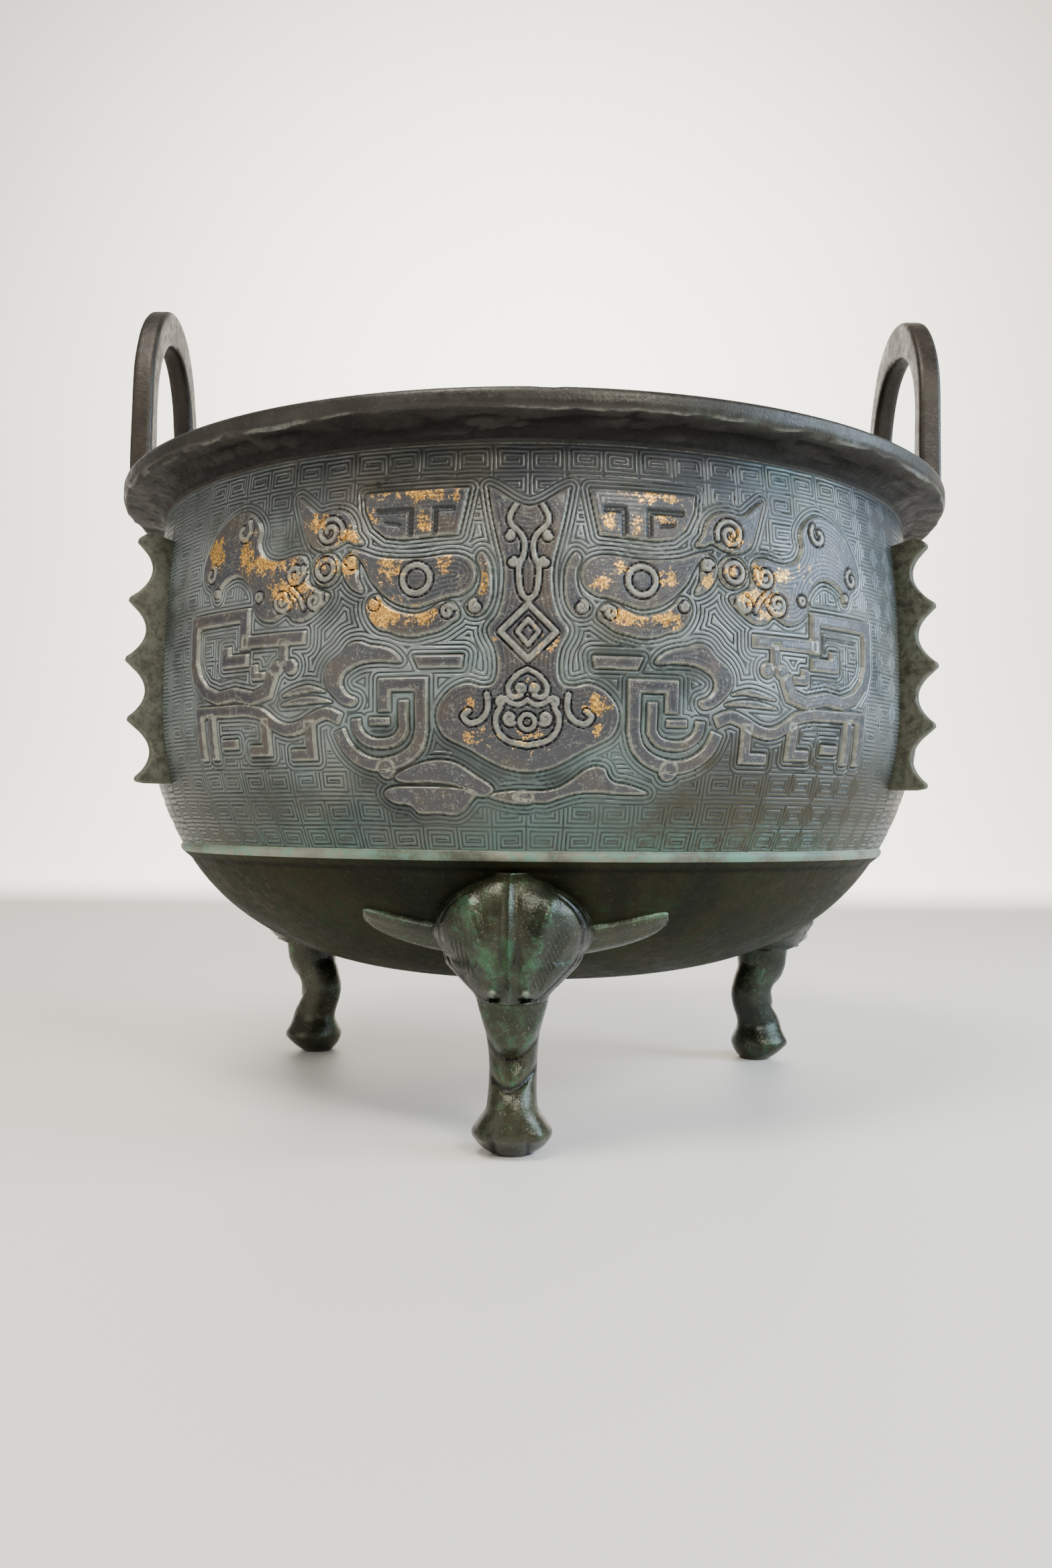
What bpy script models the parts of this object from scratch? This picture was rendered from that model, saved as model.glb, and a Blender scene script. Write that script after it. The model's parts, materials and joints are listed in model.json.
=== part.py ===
"""Bronze tripod censer: a round hollow bowl with a flat rim, two upright loop handles,
three hooked flanges, three beast-headed legs and three low relief masks, cast as one piece.

Metres, +Z up. The origin is on the bowl's axis, on the surface that the feet stand on.
The front mask and one leg face -Y, and the handles stand at +X and -X.
"""
import math

import bmesh
import bpy
import numpy as np
from mathutils import Matrix, Vector

# Bowl
RIM_RADIUS = 0.1400
RIM_TOP = 0.1993
RIM_EDGE = 0.0052
RIM_UNDERCUT = 0.0035
WALL = 0.0042
BELLY_RADIUS = 0.1305
BELLY_HEIGHT = 0.1280
NECK_RADIUS = 0.1264
NECK_HEIGHT = 0.1885
BAND_HEIGHT = 0.0820
BAND_PROUD = 0.0014
BAND_HALF_WIDTH = 0.0018
BOTTOM_HEIGHT = 0.0391
UNDERBODY_SHOULDER = 0.1250
UNDERBODY_TOP = 0.1043
UNDERBODY_BREADTH = 0.657
UNDERBODY_DEPTH = 1.12
LOWER_WALL_SLOPE = 2.25
RIM_EDGE_ROUND = 0.0010
RIM_FILLET = 0.0030

# Handles. The two aren't quite alike: the left one is narrower and taller.
RIGHT_HANDLE_HALF_WIDTH = 0.0335
RIGHT_HANDLE_RISE = 0.0697
LEFT_HANDLE_HALF_WIDTH = 0.0285
LEFT_HANDLE_RISE = 0.0732
HANDLE_SPRING_RISE = 0.0317
HANDLE_BAR = 0.0080
HANDLE_CROWN = 0.0122
HANDLE_DEPTH = 0.0072
HANDLE_EDGE = 0.0016
HANDLE_INSET = 0.0004
HANDLE_LEAN = 0.0010
HANDLE_ROOT = 0.0031

# Flanges
FLANGE_THICKNESS = 0.0040
FLANGE_TOP = 0.1782
FLANGE_FOOT = 0.1015
FLANGE_REACH = 0.1412
FLANGE_TAPER = 0.0032
FLANGE_SCALLOP = 0.0056
FLANGE_TIP = 0.0011
FLANGE_END = 0.0030
FLANGE_HOOKS = 5

# Legs
LEG_COUNT = 3
LEG_CIRCLE = 0.0990
LEG_TURN = math.radians(-2.0)
BROW_GAP = 0.0030
HEAD_ROOT = 0.0540
HEAD_KEEL = 0.0010
HEAD_HALF_WIDTH = 0.0224
HEAD_REACH = 0.1246
SHAFT_HALF_WIDTH = 0.0067
FOOT_HALF_WIDTH = 0.0111
FOOT_REACH = 0.0118
SOLE_HALF_WIDTH = 0.0056
EAR_LENGTH = 0.0210
EAR_HALF_WIDTH = 0.0076
EAR_PROUD = 0.0026
EAR_SUNK = 0.0006
EAR_TILT = 0.0006
EAR_RISE = 0.0055
EAR_HEIGHT = 0.0581

# Masks
MASK_COUNT = 3
MASK_PROUD = 0.0010
MASK_SECOND = 0.0007
MASK_ROOT = 0.0015
FLAW_PROUD = 0.0013

# Facets
TURN_STEPS = 48
MERGE = 0.00001


def underbody_radius(height, inset=0.0):
    """Outer radius of the rounded bottom at a height, or of a surface inset from it."""
    depth = UNDERBODY_TOP - BOTTOM_HEIGHT - inset
    share = np.clip((UNDERBODY_TOP - height) / depth, 0.0, 1.0) ** (1.0 / UNDERBODY_DEPTH)
    breadth = np.sqrt(np.maximum(1.0 - share * share, 0.0)) ** UNDERBODY_BREADTH
    return (UNDERBODY_SHOULDER - inset) * breadth


def wall_radius(height):
    """Outer radius of the upright wall between the band and the neck."""
    above = (BELLY_RADIUS - NECK_RADIUS) / (NECK_HEIGHT - BELLY_HEIGHT) ** 2
    drop = BELLY_RADIUS - underbody_radius(BAND_HEIGHT)
    below = drop / (BELLY_HEIGHT - BAND_HEIGHT) ** LOWER_WALL_SLOPE
    off = np.asarray(height, dtype=float) - BELLY_HEIGHT
    fall = np.where(off > 0.0, above * off ** 2, below * np.abs(off) ** LOWER_WALL_SLOPE)
    return BELLY_RADIUS - fall


def outer_profile():
    """Outer side of the bowl from the rim's top edge down to the middle of the bottom."""
    underside = RIM_TOP - RIM_EDGE
    points = [(RIM_RADIUS - RIM_EDGE_ROUND, RIM_TOP),
              (RIM_RADIUS, RIM_TOP - RIM_EDGE_ROUND),
              (RIM_RADIUS, underside),
              (RIM_RADIUS - RIM_UNDERCUT, underside - RIM_EDGE_ROUND),
              (NECK_RADIUS + RIM_FILLET, NECK_HEIGHT + RIM_FILLET)]
    points += [(float(wall_radius(z)), z) for z in np.linspace(NECK_HEIGHT, BAND_HEIGHT + BAND_HALF_WIDTH, 6)]
    crest = float(underbody_radius(BAND_HEIGHT)) + BAND_PROUD
    points += [(crest, BAND_HEIGHT)]
    start = BAND_HEIGHT - BAND_HALF_WIDTH
    for share in np.linspace(0.0, 1.0, 8):
        angle = 0.5 * math.pi * share
        height = start - (start - BOTTOM_HEIGHT) * math.sin(angle)
        points.append((float(underbody_radius(height)), height))
    points[-1] = (0.0, BOTTOM_HEIGHT)
    return points


def inner_profile():
    """Inner side of the bowl from the middle of its floor up to the mouth."""
    points = [(0.0, BOTTOM_HEIGHT + WALL)]
    start = BAND_HEIGHT + 0.5 * (UNDERBODY_TOP - BAND_HEIGHT)
    floor = BOTTOM_HEIGHT + WALL
    for share in np.linspace(0.80, 0.0, 5):
        height = start - (start - floor) * math.sin(0.5 * math.pi * share)
        points.append((float(underbody_radius(height, WALL)), height))
    points += [(float(wall_radius(z)) - WALL, z) for z in np.linspace(BELLY_HEIGHT - 2.0 * WALL, NECK_HEIGHT, 3)]
    mouth = NECK_RADIUS - WALL
    points += [(mouth, RIM_TOP - RIM_EDGE_ROUND), (mouth + RIM_EDGE_ROUND, RIM_TOP)]
    return points


def polyline_radius(height, profile):
    """Radius of the faceted wall at a height, read between the profile's own points."""
    heights = np.array([p[1] for p in profile])
    radii = np.array([p[0] for p in profile])
    order = np.argsort(heights)
    return float(np.interp(height, heights[order], radii[order]))


def mesh_object(name, bm, collection):
    """New object from a bmesh, with its normals pointing out."""
    bmesh.ops.recalc_face_normals(bm, faces=bm.faces)
    mesh = bpy.data.meshes.new(name)
    bm.to_mesh(mesh)
    bm.free()
    obj = bpy.data.objects.new(name, mesh)
    collection.objects.link(obj)
    return obj


def tool(obj):
    """Marks an object as a guide that is joined to the casting and isn't a part itself."""
    obj.hide_render = True
    obj.display_type = 'WIRE'
    return obj


def turned_bowl(name, collection):
    """Hollow bowl: one closed profile turned about the axis by a Screw modifier."""
    profile = inner_profile() + outer_profile()
    mesh = bpy.data.meshes.new(name)
    edges = [(i, i + 1) for i in range(len(profile) - 1)]
    mesh.from_pydata([(r, 0.0, z) for r, z in profile], edges, [])
    obj = bpy.data.objects.new(name, mesh)
    collection.objects.link(obj)
    screw = obj.modifiers.new("Turn", 'SCREW')
    screw.axis = 'Z'
    screw.angle = 2.0 * math.pi
    screw.steps = TURN_STEPS
    screw.render_steps = TURN_STEPS
    screw.use_merge_vertices = True
    screw.merge_threshold = MERGE
    return obj


def solid_from_curve(name, outline, thickness, edge, collection):
    """Flat closed outline in the XY plane, filled, thickened and its edges bevelled."""
    data = bpy.data.curves.new(name, 'CURVE')
    data.dimensions = '2D'
    data.fill_mode = 'BOTH'
    data.extrude = 0.5 * thickness
    for loop in outline:
        spline = data.splines.new('POLY')
        spline.points.add(len(loop) - 1)
        for point, (x, y) in zip(spline.points, loop):
            point.co = (x, y, 0.0, 1.0)
        spline.use_cyclic_u = True
    source = bpy.data.objects.new(name, data)
    collection.objects.link(source)
    mesh = bpy.data.meshes.new_from_object(source.evaluated_get(bpy.context.evaluated_depsgraph_get()))
    bpy.data.objects.remove(source)
    bm = bmesh.new()
    bm.from_mesh(mesh)
    bmesh.ops.remove_doubles(bm, verts=bm.verts, dist=MERGE)
    bmesh.ops.dissolve_limit(bm, angle_limit=0.01, verts=bm.verts, edges=bm.edges)
    if edge > 0.0:
        rims = [e for e in bm.edges if e.is_manifold and e.calc_face_angle(0.0) > math.radians(60.0)]
        bmesh.ops.bevel(bm, geom=rims, offset=edge, segments=1, affect='EDGES', profile=0.5)
    obj = mesh_object(name, bm, collection)
    return tool(obj)


def arch(half_width, foot, spring, top, steps):
    """Closed outline of an upright arch: straight limbs and a half ellipse."""
    points = [(half_width + HANDLE_LEAN, foot)]
    for i in range(steps + 1):
        angle = math.pi * i / steps
        points.append((half_width * math.cos(angle), spring + (top - spring) * math.sin(angle)))
    points.append((-half_width - HANDLE_LEAN, foot))
    return points


def handle(name, side, half_width, rise, collection):
    """Upright loop handle on the rim, thicker at its crown, its feet's corners at the rim's edge."""
    foot = RIM_TOP - HANDLE_ROOT
    spring = RIM_TOP + HANDLE_SPRING_RISE
    top = RIM_TOP + rise
    outer = arch(half_width, foot, spring, top, 12)
    inner = arch(half_width - HANDLE_BAR, foot, spring, top - HANDLE_CROWN, 10)
    loop = outer + inner[::-1]
    obj = solid_from_curve(name, [loop], HANDLE_DEPTH, HANDLE_EDGE, collection)
    corner = half_width + HANDLE_LEAN
    middle = math.sqrt(RIM_RADIUS ** 2 - corner ** 2) - HANDLE_INSET - 0.5 * HANDLE_DEPTH
    stand = Matrix.Rotation(side * 0.5 * math.pi, 4, 'Z') @ Matrix.Rotation(0.5 * math.pi, 4, 'X')
    obj.data.transform(Matrix.Translation((side * middle, 0.0, 0.0)) @ stand)
    return obj


def flange_outline():
    """Outline of a hooked flange as radius and height, its root sunk in the wall."""
    pitch = (FLANGE_TOP - FLANGE_FOOT - FLANGE_END - FLANGE_TIP) / (FLANGE_HOOKS - 1)
    half_count = 0.5 * (FLANGE_HOOKS - 1)
    tips = []
    for i in range(FLANGE_HOOKS):
        height = FLANGE_TOP - FLANGE_END - i * pitch
        share = (i - half_count) / half_count
        tips.append((FLANGE_REACH - FLANGE_TAPER * share * share, height))
    points = [(NECK_RADIUS - 0.5 * WALL, FLANGE_TOP - FLANGE_END)]
    points.append((tips[0][0] - FLANGE_END, FLANGE_TOP))
    scallop_steps = 4
    for (ra, za), (rb, zb) in zip(tips[:-1], tips[1:]):
        points += [(ra, za + FLANGE_TIP), (ra, za - FLANGE_TIP)]
        for k in range(1, scallop_steps):
            share = k / scallop_steps
            dip = FLANGE_SCALLOP * math.sqrt(math.sin(math.pi * share))
            rise = 2.0 * FLANGE_TIP * (share - 0.5)
            points.append((ra + (rb - ra) * share - dip, za + (zb - za) * share + rise))
    points += [(tips[-1][0], tips[-1][1] + FLANGE_TIP), (tips[-1][0], FLANGE_FOOT + 0.5 * FLANGE_TIP)]
    points.append((tips[-1][0] - FLANGE_END, FLANGE_FOOT))
    points.append((float(wall_radius(FLANGE_FOOT)) - 0.5 * WALL, FLANGE_FOOT))
    middle = 0.5 * (FLANGE_TOP + FLANGE_FOOT)
    points.append((float(wall_radius(middle)) - 0.5 * WALL, middle))
    return points


def flange(name, azimuth, collection):
    """Hooked flange that stands out from the wall between two masks."""
    obj = solid_from_curve(name, [flange_outline()], FLANGE_THICKNESS, 0.0, collection)
    obj.data.transform(Matrix.Rotation(azimuth, 4, 'Z') @ Matrix.Rotation(0.5 * math.pi, 4, 'X'))
    return obj


def leg_stations():
    """Sections of a leg, foot to brow: height, outer and inner radius, half width.

    The leg is a free form. Its heights are shares of its own height up to the brow. Below the
    chin, what stands outwards and inwards is a share of the foot's reach, and above it a share
    of the head's half width.
    """
    sole, foot, shaft, head = SOLE_HALF_WIDTH, FOOT_HALF_WIDTH, SHAFT_HALF_WIDTH, HEAD_HALF_WIDTH
    brow = BAND_HEIGHT - BROW_GAP
    below_chin = [(0.000, 0.45, 0.42, sole),
                  (0.015, 0.58, 0.51, 1.30 * sole),
                  (0.044, 0.78, 0.61, 0.88 * foot),
                  (0.080, 1.00, 0.68, foot),
                  (0.120, 0.97, 0.64, 0.84 * foot),
                  (0.171, 0.92, 0.56, 1.04 * shaft),
                  (0.259, 0.62, 0.75, 0.99 * shaft),
                  (0.316, 0.52, 0.82, shaft),
                  (0.405, 0.92, 0.69, 1.08 * shaft),
                  (0.468, 1.08, 0.51, 1.25 * shaft),
                  (0.532, 1.15, 0.54, 1.45 * shaft)]
    above_chin = [(0.547, 0.30, 0.32, 0.44),
                  (0.614, 0.16, 0.47, 0.64),
                  (0.690, 0.05, 0.54, 0.87),
                  (0.772, 0.00, 0.22, 1.00),
                  (0.842, 0.01, 0.00, 0.91),
                  (0.899, 0.05, 0.00, 0.72),
                  (0.949, 0.14, 0.00, 0.44),
                  (0.981, 0.28, 0.00, 0.20)]
    rows = [(brow * h, LEG_CIRCLE + FOOT_REACH * out, LEG_CIRCLE - FOOT_REACH * back, half)
            for h, out, back, half in below_chin]
    rows += [(brow * h, HEAD_REACH - head * short, LEG_CIRCLE - head * back, head * half)
             for h, short, back, half in above_chin]
    return rows


def leg(name, azimuth, collection):
    """Leg with a cabriole shaft, a paw foot and a beast's head that grows from the bowl."""
    sides = 12
    bm = bmesh.new()
    rings = []
    for height, outer, inner, half in leg_stations():
        middle_wall = 0.5 * (underbody_radius(height) + underbody_radius(height, WALL))
        in_wall = height > HEAD_ROOT
        keel = HEAD_KEEL if outer > LEG_CIRCLE + FOOT_REACH * 1.2 else 0.0
        ring = []
        for i in range(sides):
            angle = 2.0 * math.pi * i / sides
            across = half * math.sin(angle)
            forward = math.cos(angle)
            back = math.sqrt(max(float(middle_wall) ** 2 - across ** 2, 0.0)) if in_wall else inner
            middle = 0.5 * (outer + inner) if not in_wall else back + 0.25 * (outer - back)
            reach = outer - middle if forward > 0.0 else middle - back
            ridge = keel if i == 0 else 0.0
            ring.append(bm.verts.new((middle + reach * forward + ridge, across, height)))
        rings.append(ring)
    for low, high in zip(rings[:-1], rings[1:]):
        for i in range(sides):
            j = (i + 1) % sides
            bm.faces.new((low[i], low[j], high[j], high[i]))
    bm.faces.new(rings[0][::-1])
    bm.faces.new(rings[-1])
    bm.transform(Matrix.Rotation(azimuth, 4, 'Z'))
    return tool(mesh_object(name, bm, collection))


def ear(name, azimuth, side, collection):
    """Ear of the beast's head: a tapered lobe that lies on the bowl's underbody."""
    sides = 8
    root = 0.86 * HEAD_HALF_WIDTH
    reach = HEAD_HALF_WIDTH + EAR_LENGTH - root
    widths = ((0.0, 1.05), (0.30, 1.0), (0.60, 0.93), (0.85, 0.78), (0.96, 0.56), (1.0, 0.26))
    bm = bmesh.new()
    rings = []
    for share, width in widths:
        height = EAR_HEIGHT + EAR_RISE * share ** 1.3
        step = 0.0005
        radius = float(underbody_radius(height))
        slope = (float(underbody_radius(height + step)) - radius) / step
        turn = azimuth + side * (root + reach * share) / radius
        out = Vector((math.cos(turn), math.sin(turn), 0.0))
        up = (out * slope + Vector((0.0, 0.0, 1.0))).normalized()
        along = Vector((-math.sin(turn), math.cos(turn), 0.0)) * side
        normal = along.cross(up) * side
        centre = out * radius + Vector((0.0, 0.0, height)) - normal * EAR_SUNK
        ring = []
        for i in range(sides):
            angle = 2.0 * math.pi * i / sides
            lift = (EAR_PROUD + EAR_SUNK) * math.sin(angle) * max(width, 0.5)
            lift += EAR_TILT * width * math.cos(angle)
            ring.append(bm.verts.new(centre + up * (EAR_HALF_WIDTH * width * math.cos(angle)) + normal * lift))
        rings.append(ring)
    for low, high in zip(rings[:-1], rings[1:]):
        for i in range(sides):
            j = (i + 1) % sides
            bm.faces.new((low[i], low[j], high[j], high[i]))
    bm.faces.new(rings[0][::-1])
    bm.faces.new(rings[-1])
    return tool(mesh_object(name, bm, collection))


# The mask is drawn flat, on a sheet that runs from the band up to the neck and is as wide
# as a third of the bowl. Its own units are millimetres on a bowl of the size above.
SHEET_WIDTH = 273.3
SHEET_LOW = 82.0
SHEET_HIGH = 188.5
BROAD_STROKE = 3.4
FINE_STROKE = 2.4


def stroke(points, width):
    """Outline of a bar of even width along a bent line, with mitred corners."""
    line = [Vector(p) for p in points]
    left, right = [], []
    for i, here in enumerate(line):
        before = (here - line[i - 1]).normalized() if i else None
        after = (line[i + 1] - here).normalized() if i + 1 < len(line) else None
        way = (before or after) + (after or before)
        way.normalize()
        normal = Vector((-way.y, way.x))
        edge = Vector((-(after or before).y, (after or before).x))
        reach = 0.5 * width / max(normal.dot(edge), 0.5)
        left.append(here + normal * reach)
        right.append(here - normal * reach)
    return [(p.x, p.y) for p in left + right[::-1]]


def disc(centre, radius, sides):
    """Outline of a round boss."""
    return [(centre[0] + radius * math.cos(2.0 * math.pi * i / sides),
             centre[1] + radius * math.sin(2.0 * math.pi * i / sides)) for i in range(sides)]


def mirrored(points):
    """The same outline on the other side of the mask's middle line."""
    return [(-s, z) for s, z in points[::-1]]


def main_figures():
    """Main figures of the mask's right half, as outlines on the sheet."""
    brow = [(16, 176.8), (44, 176.5), (41, 167), (33, 164.6), (33, 170.6), (30, 170.6), (30, 163.8),
            (26, 163.8), (26, 170.6), (18.5, 165)]
    eye = [(13.5, 153.5), (19, 148), (32, 146.4), (41, 152), (47, 161.5), (36, 159), (18, 158.8)]
    cheek = [(19, 144.5), (26, 139.5), (37, 140.5), (42.5, 146), (36, 146.8), (28, 144.8)]
    leaf = [(62, 160), (76, 161), (81, 174), (90, 176.3), (102, 166), (103, 158), (88, 157.4), (79, 148),
            (68, 144), (56, 148)]
    upper_hook = stroke([(83.2, 148.4), (108, 148.4), (108, 134), (101, 126.4), (78, 124.6), (71.5, 132.6)], BROAD_STROKE)
    lower_hook = stroke([(52, 118), (68, 115.6), (80, 120.8), (104.2, 120.8), (104.2, 108)], BROAD_STROKE)
    jowl = stroke([(37.4, 119.5), (37.4, 125.8), (27.3, 125.8), (27.3, 113.5), (33, 106.6), (47, 109)], BROAD_STROKE)
    return [brow, eye, cheek, leaf, upper_hook, lower_hook, jowl]


def finer_figures():
    """Smaller figures between the main ones, which don't touch them."""
    crest = [(33, 132), (38, 136), (46, 137.2), (54.5, 130.5), (47, 120.6), (48.5, 128), (43, 132)]
    bar = [(17, 130.3), (28.4, 130.3), (29.6, 133.2), (17, 133.2)]
    snout_hook = stroke([(61, 141.6), (83.4, 141.6), (83.4, 136.4), (91.5, 136.4), (91.5, 140.8)], BROAD_STROKE)
    inner_jowl = stroke([(31.8, 121), (31.8, 113.6), (36, 110.6), (44, 112)], FINE_STROKE)
    curl = [(47, 166), (52, 156), (57, 153.5), (58.5, 163), (64, 175.5), (50, 171)]
    return [crest, bar, snout_hook, inner_jowl, curl]


def hook_teeth():
    """Short teeth that hang from the lower hook and run into it."""
    return [stroke([(59.4, 117.2), (59.4, 108.6), (66.5, 108.6)], BROAD_STROKE),
            stroke([(74.4, 118.0), (74.4, 109.6), (82, 109.6)], BROAD_STROKE),
            stroke([(97.8, 120.4), (97.8, 108)], BROAD_STROKE)]


def chin_figure():
    """Curled band under the mask's jaw."""
    half = [(8, 100.2), (14.5, 104.8), (19.5, 104.4), (21, 101.6), (32.5, 98.8), (16, 98.6), (6, 96)]
    return [(0.0, 99.0)] + half + [(0.0, 95.6)] + mirrored(half)


def middle_figure():
    """Forehead, nose and nostrils of the mask, on its middle line."""
    half = [(10.5, 177), (6.6, 160), (6, 150), (10.3, 139.4), (8, 132), (10.5, 125.2), (17, 126.4),
            (24, 119), (21, 112.4), (8, 106)]
    return [(0.0, 171.5)] + half + [(0.0, 104.2)] + mirrored(half)


def raised_figures():
    """Small bosses that stand a second step above the figures that carry them."""
    diamond = [(0.0, 146.0), (7.0, 139.2), (0.0, 132.2), (-7.0, 139.2)]
    pupil = disc((28.0, 153.0), 4.0, 8)
    return [diamond, pupil, mirrored(pupil)]


def flaw_figure():
    """Smooth lump that a fault in the mould left beside the front mask's chin."""
    return [(-40, 99.5), (-33, 106), (-22, 106.4), (-14, 101), (-19, 93.4), (-30, 94)]


def on_wall(s, z, proud, azimuth, profile):
    """Point of the faceted wall for a point of the mask's sheet, lifted off it by proud."""
    turn = azimuth + 2.0 * math.pi / MASK_COUNT * s / SHEET_WIDTH
    step = 2.0 * math.pi / TURN_STEPS
    facet = (math.floor(turn / step + 1e-6) + 0.5) * step
    flat = math.cos(0.5 * step) / math.cos(turn - facet)
    share = (z - SHEET_LOW) / (SHEET_HIGH - SHEET_LOW)
    height = BAND_HEIGHT + (NECK_HEIGHT - BAND_HEIGHT) * share
    radius = (polyline_radius(height, profile) + proud) * flat
    return Vector((radius * math.cos(turn), radius * math.sin(turn), height))


def relief(name, outlines, azimuth, proud, collection):
    """Figures of one mask wrapped on the wall, each a low slab sunk into it."""
    profile = outer_profile()[4:]
    step = SHEET_WIDTH * MASK_COUNT / TURN_STEPS
    bm = bmesh.new()
    for outline in outlines:
        verts = [bm.verts.new((s, z, 0.0)) for s, z in outline]
        bm.faces.new(verts)
    bmesh.ops.recalc_face_normals(bm, faces=bm.faces)
    lowest = math.ceil(-0.5 * SHEET_WIDTH / step)
    for k in range(lowest, -lowest + 1):
        geom = list(bm.verts) + list(bm.edges) + list(bm.faces)
        bmesh.ops.bisect_plane(bm, geom=geom, plane_co=(k * step, 0.0, 0.0), plane_no=(1.0, 0.0, 0.0), dist=0.02)
    bmesh.ops.triangulate(bm, faces=bm.faces)
    grown = bmesh.ops.extrude_face_region(bm, geom=list(bm.faces))
    top = [v for v in grown["geom"] if isinstance(v, bmesh.types.BMVert)]
    top_set = set(top)
    for vert in bm.verts:
        lift = proud if vert in top_set else -MASK_ROOT
        vert.co = on_wall(vert.co.x, vert.co.y, lift, azimuth, profile)
    return tool(mesh_object(name, bm, collection))


def both_sides(outlines):
    """The outlines and their mirror images."""
    return outlines + [mirrored(outline) for outline in outlines]


def mask(number, azimuth, full, collection):
    """Monster mask on one third of the wall. Away from the front only its main figures stand."""
    relief(f"mask_{number}", both_sides(main_figures()) + [middle_figure()], azimuth, MASK_PROUD, collection)
    relief(f"bosses_{number}", raised_figures(), azimuth, MASK_PROUD + MASK_SECOND, collection)
    if full:
        relief(f"finer_{number}", both_sides(finer_figures()) + [chin_figure()], azimuth, MASK_PROUD, collection)
        relief(f"teeth_{number}", both_sides(hook_teeth()), azimuth, 0.9 * MASK_PROUD, collection)


def join_to(body, guides):
    """Unites everything in the guides' collection with the body by one EXACT Boolean."""
    union = body.modifiers.new("Cast as one", 'BOOLEAN')
    union.operation = 'UNION'
    union.solver = 'EXACT'
    union.operand_type = 'COLLECTION'
    union.collection = guides


def bronze():
    """Dark brown bronze with a green and grey patina."""
    material = bpy.data.materials.new("patinated_bronze")
    material.use_nodes = True
    shader = material.node_tree.nodes["Principled BSDF"]
    shader.inputs["Base Color"].default_value = (0.085, 0.095, 0.075, 1.0)
    shader.inputs["Metallic"].default_value = 0.75
    shader.inputs["Roughness"].default_value = 0.48
    return material


def build():
    """Makes the censer and the guides that are joined into it."""
    for obj in list(bpy.data.objects):
        bpy.data.objects.remove(obj)
    parts = bpy.data.collections.new("bronze_censer")
    guides = bpy.data.collections.new("joined_guides")
    bpy.context.scene.collection.children.link(parts)
    bpy.context.scene.collection.children.link(guides)
    censer = turned_bowl("censer", parts)
    handle("handle_right", 1, RIGHT_HANDLE_HALF_WIDTH, RIGHT_HANDLE_RISE, guides)
    handle("handle_left", -1, LEFT_HANDLE_HALF_WIDTH, LEFT_HANDLE_RISE, guides)
    front = -0.5 * math.pi
    panel = 2.0 * math.pi / MASK_COUNT
    for i in range(MASK_COUNT):
        azimuth = front + i * panel
        flange(f"flange_{i}", azimuth + 0.5 * panel, guides)
        mask(i, azimuth, i == 0, guides)
    relief("flaw", [flaw_figure()], front, FLAW_PROUD, guides)
    for i in range(LEG_COUNT):
        azimuth = front + LEG_TURN + i * 2.0 * math.pi / LEG_COUNT
        leg(f"leg_{i}", azimuth, guides)
        ear(f"ear_{i}_a", azimuth, 1, guides)
        ear(f"ear_{i}_b", azimuth, -1, guides)
    join_to(censer, guides)
    censer.data.materials.append(bronze())


build()
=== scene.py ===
"""Looks of a cast bronze tripod censer, in metres and +Z up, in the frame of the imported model.

The bowl, its rim, handles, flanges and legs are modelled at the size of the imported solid. The
three masks are drawn in millimetres on a flat sheet, as a wax carver draws them, and the sheet
is wrapped on the wall: plates stand up, their lines are raised between two furrows, threads
follow the plates' outlines, and square spirals fill what is left.
"""
import json
import logging
import math
from dataclasses import dataclass
from enum import Enum

import bmesh
import bpy
import numpy as np
from mathutils import Matrix, Vector

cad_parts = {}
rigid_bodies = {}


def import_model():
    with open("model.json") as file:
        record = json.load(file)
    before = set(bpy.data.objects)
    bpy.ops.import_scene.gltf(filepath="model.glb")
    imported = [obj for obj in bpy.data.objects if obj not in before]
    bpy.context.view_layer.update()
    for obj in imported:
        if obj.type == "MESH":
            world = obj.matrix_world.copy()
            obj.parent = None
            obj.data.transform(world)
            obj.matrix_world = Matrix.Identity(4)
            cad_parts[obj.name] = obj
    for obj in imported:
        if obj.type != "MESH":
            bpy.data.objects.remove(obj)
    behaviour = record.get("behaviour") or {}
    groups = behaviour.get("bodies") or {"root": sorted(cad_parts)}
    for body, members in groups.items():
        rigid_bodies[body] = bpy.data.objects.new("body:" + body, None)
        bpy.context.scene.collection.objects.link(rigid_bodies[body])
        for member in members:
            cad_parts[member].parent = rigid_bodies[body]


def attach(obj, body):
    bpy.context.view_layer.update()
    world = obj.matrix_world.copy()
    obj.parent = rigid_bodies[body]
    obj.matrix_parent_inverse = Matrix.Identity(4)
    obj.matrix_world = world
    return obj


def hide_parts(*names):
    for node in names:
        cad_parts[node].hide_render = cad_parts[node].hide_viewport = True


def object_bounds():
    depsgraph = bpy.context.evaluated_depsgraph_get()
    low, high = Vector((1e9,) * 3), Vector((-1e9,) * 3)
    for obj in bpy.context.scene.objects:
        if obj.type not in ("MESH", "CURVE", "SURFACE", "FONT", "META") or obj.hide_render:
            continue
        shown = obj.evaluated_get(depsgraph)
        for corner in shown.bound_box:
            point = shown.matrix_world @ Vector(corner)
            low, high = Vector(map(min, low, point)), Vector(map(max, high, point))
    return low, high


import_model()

CAD_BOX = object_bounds()
BODY = "root"
NODE = "censer"
FRONT = -0.5 * math.pi
MM = 0.001

Point = tuple[float, float]
Points = list[Point]
Ramp = tuple[float, float]
Place = tuple[float, float, float]
Colour = tuple[float, float, float]
Array = np.ndarray
Socket = bpy.types.NodeSocket
Piece = bpy.types.Object

log = logging.getLogger("censer")


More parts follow.
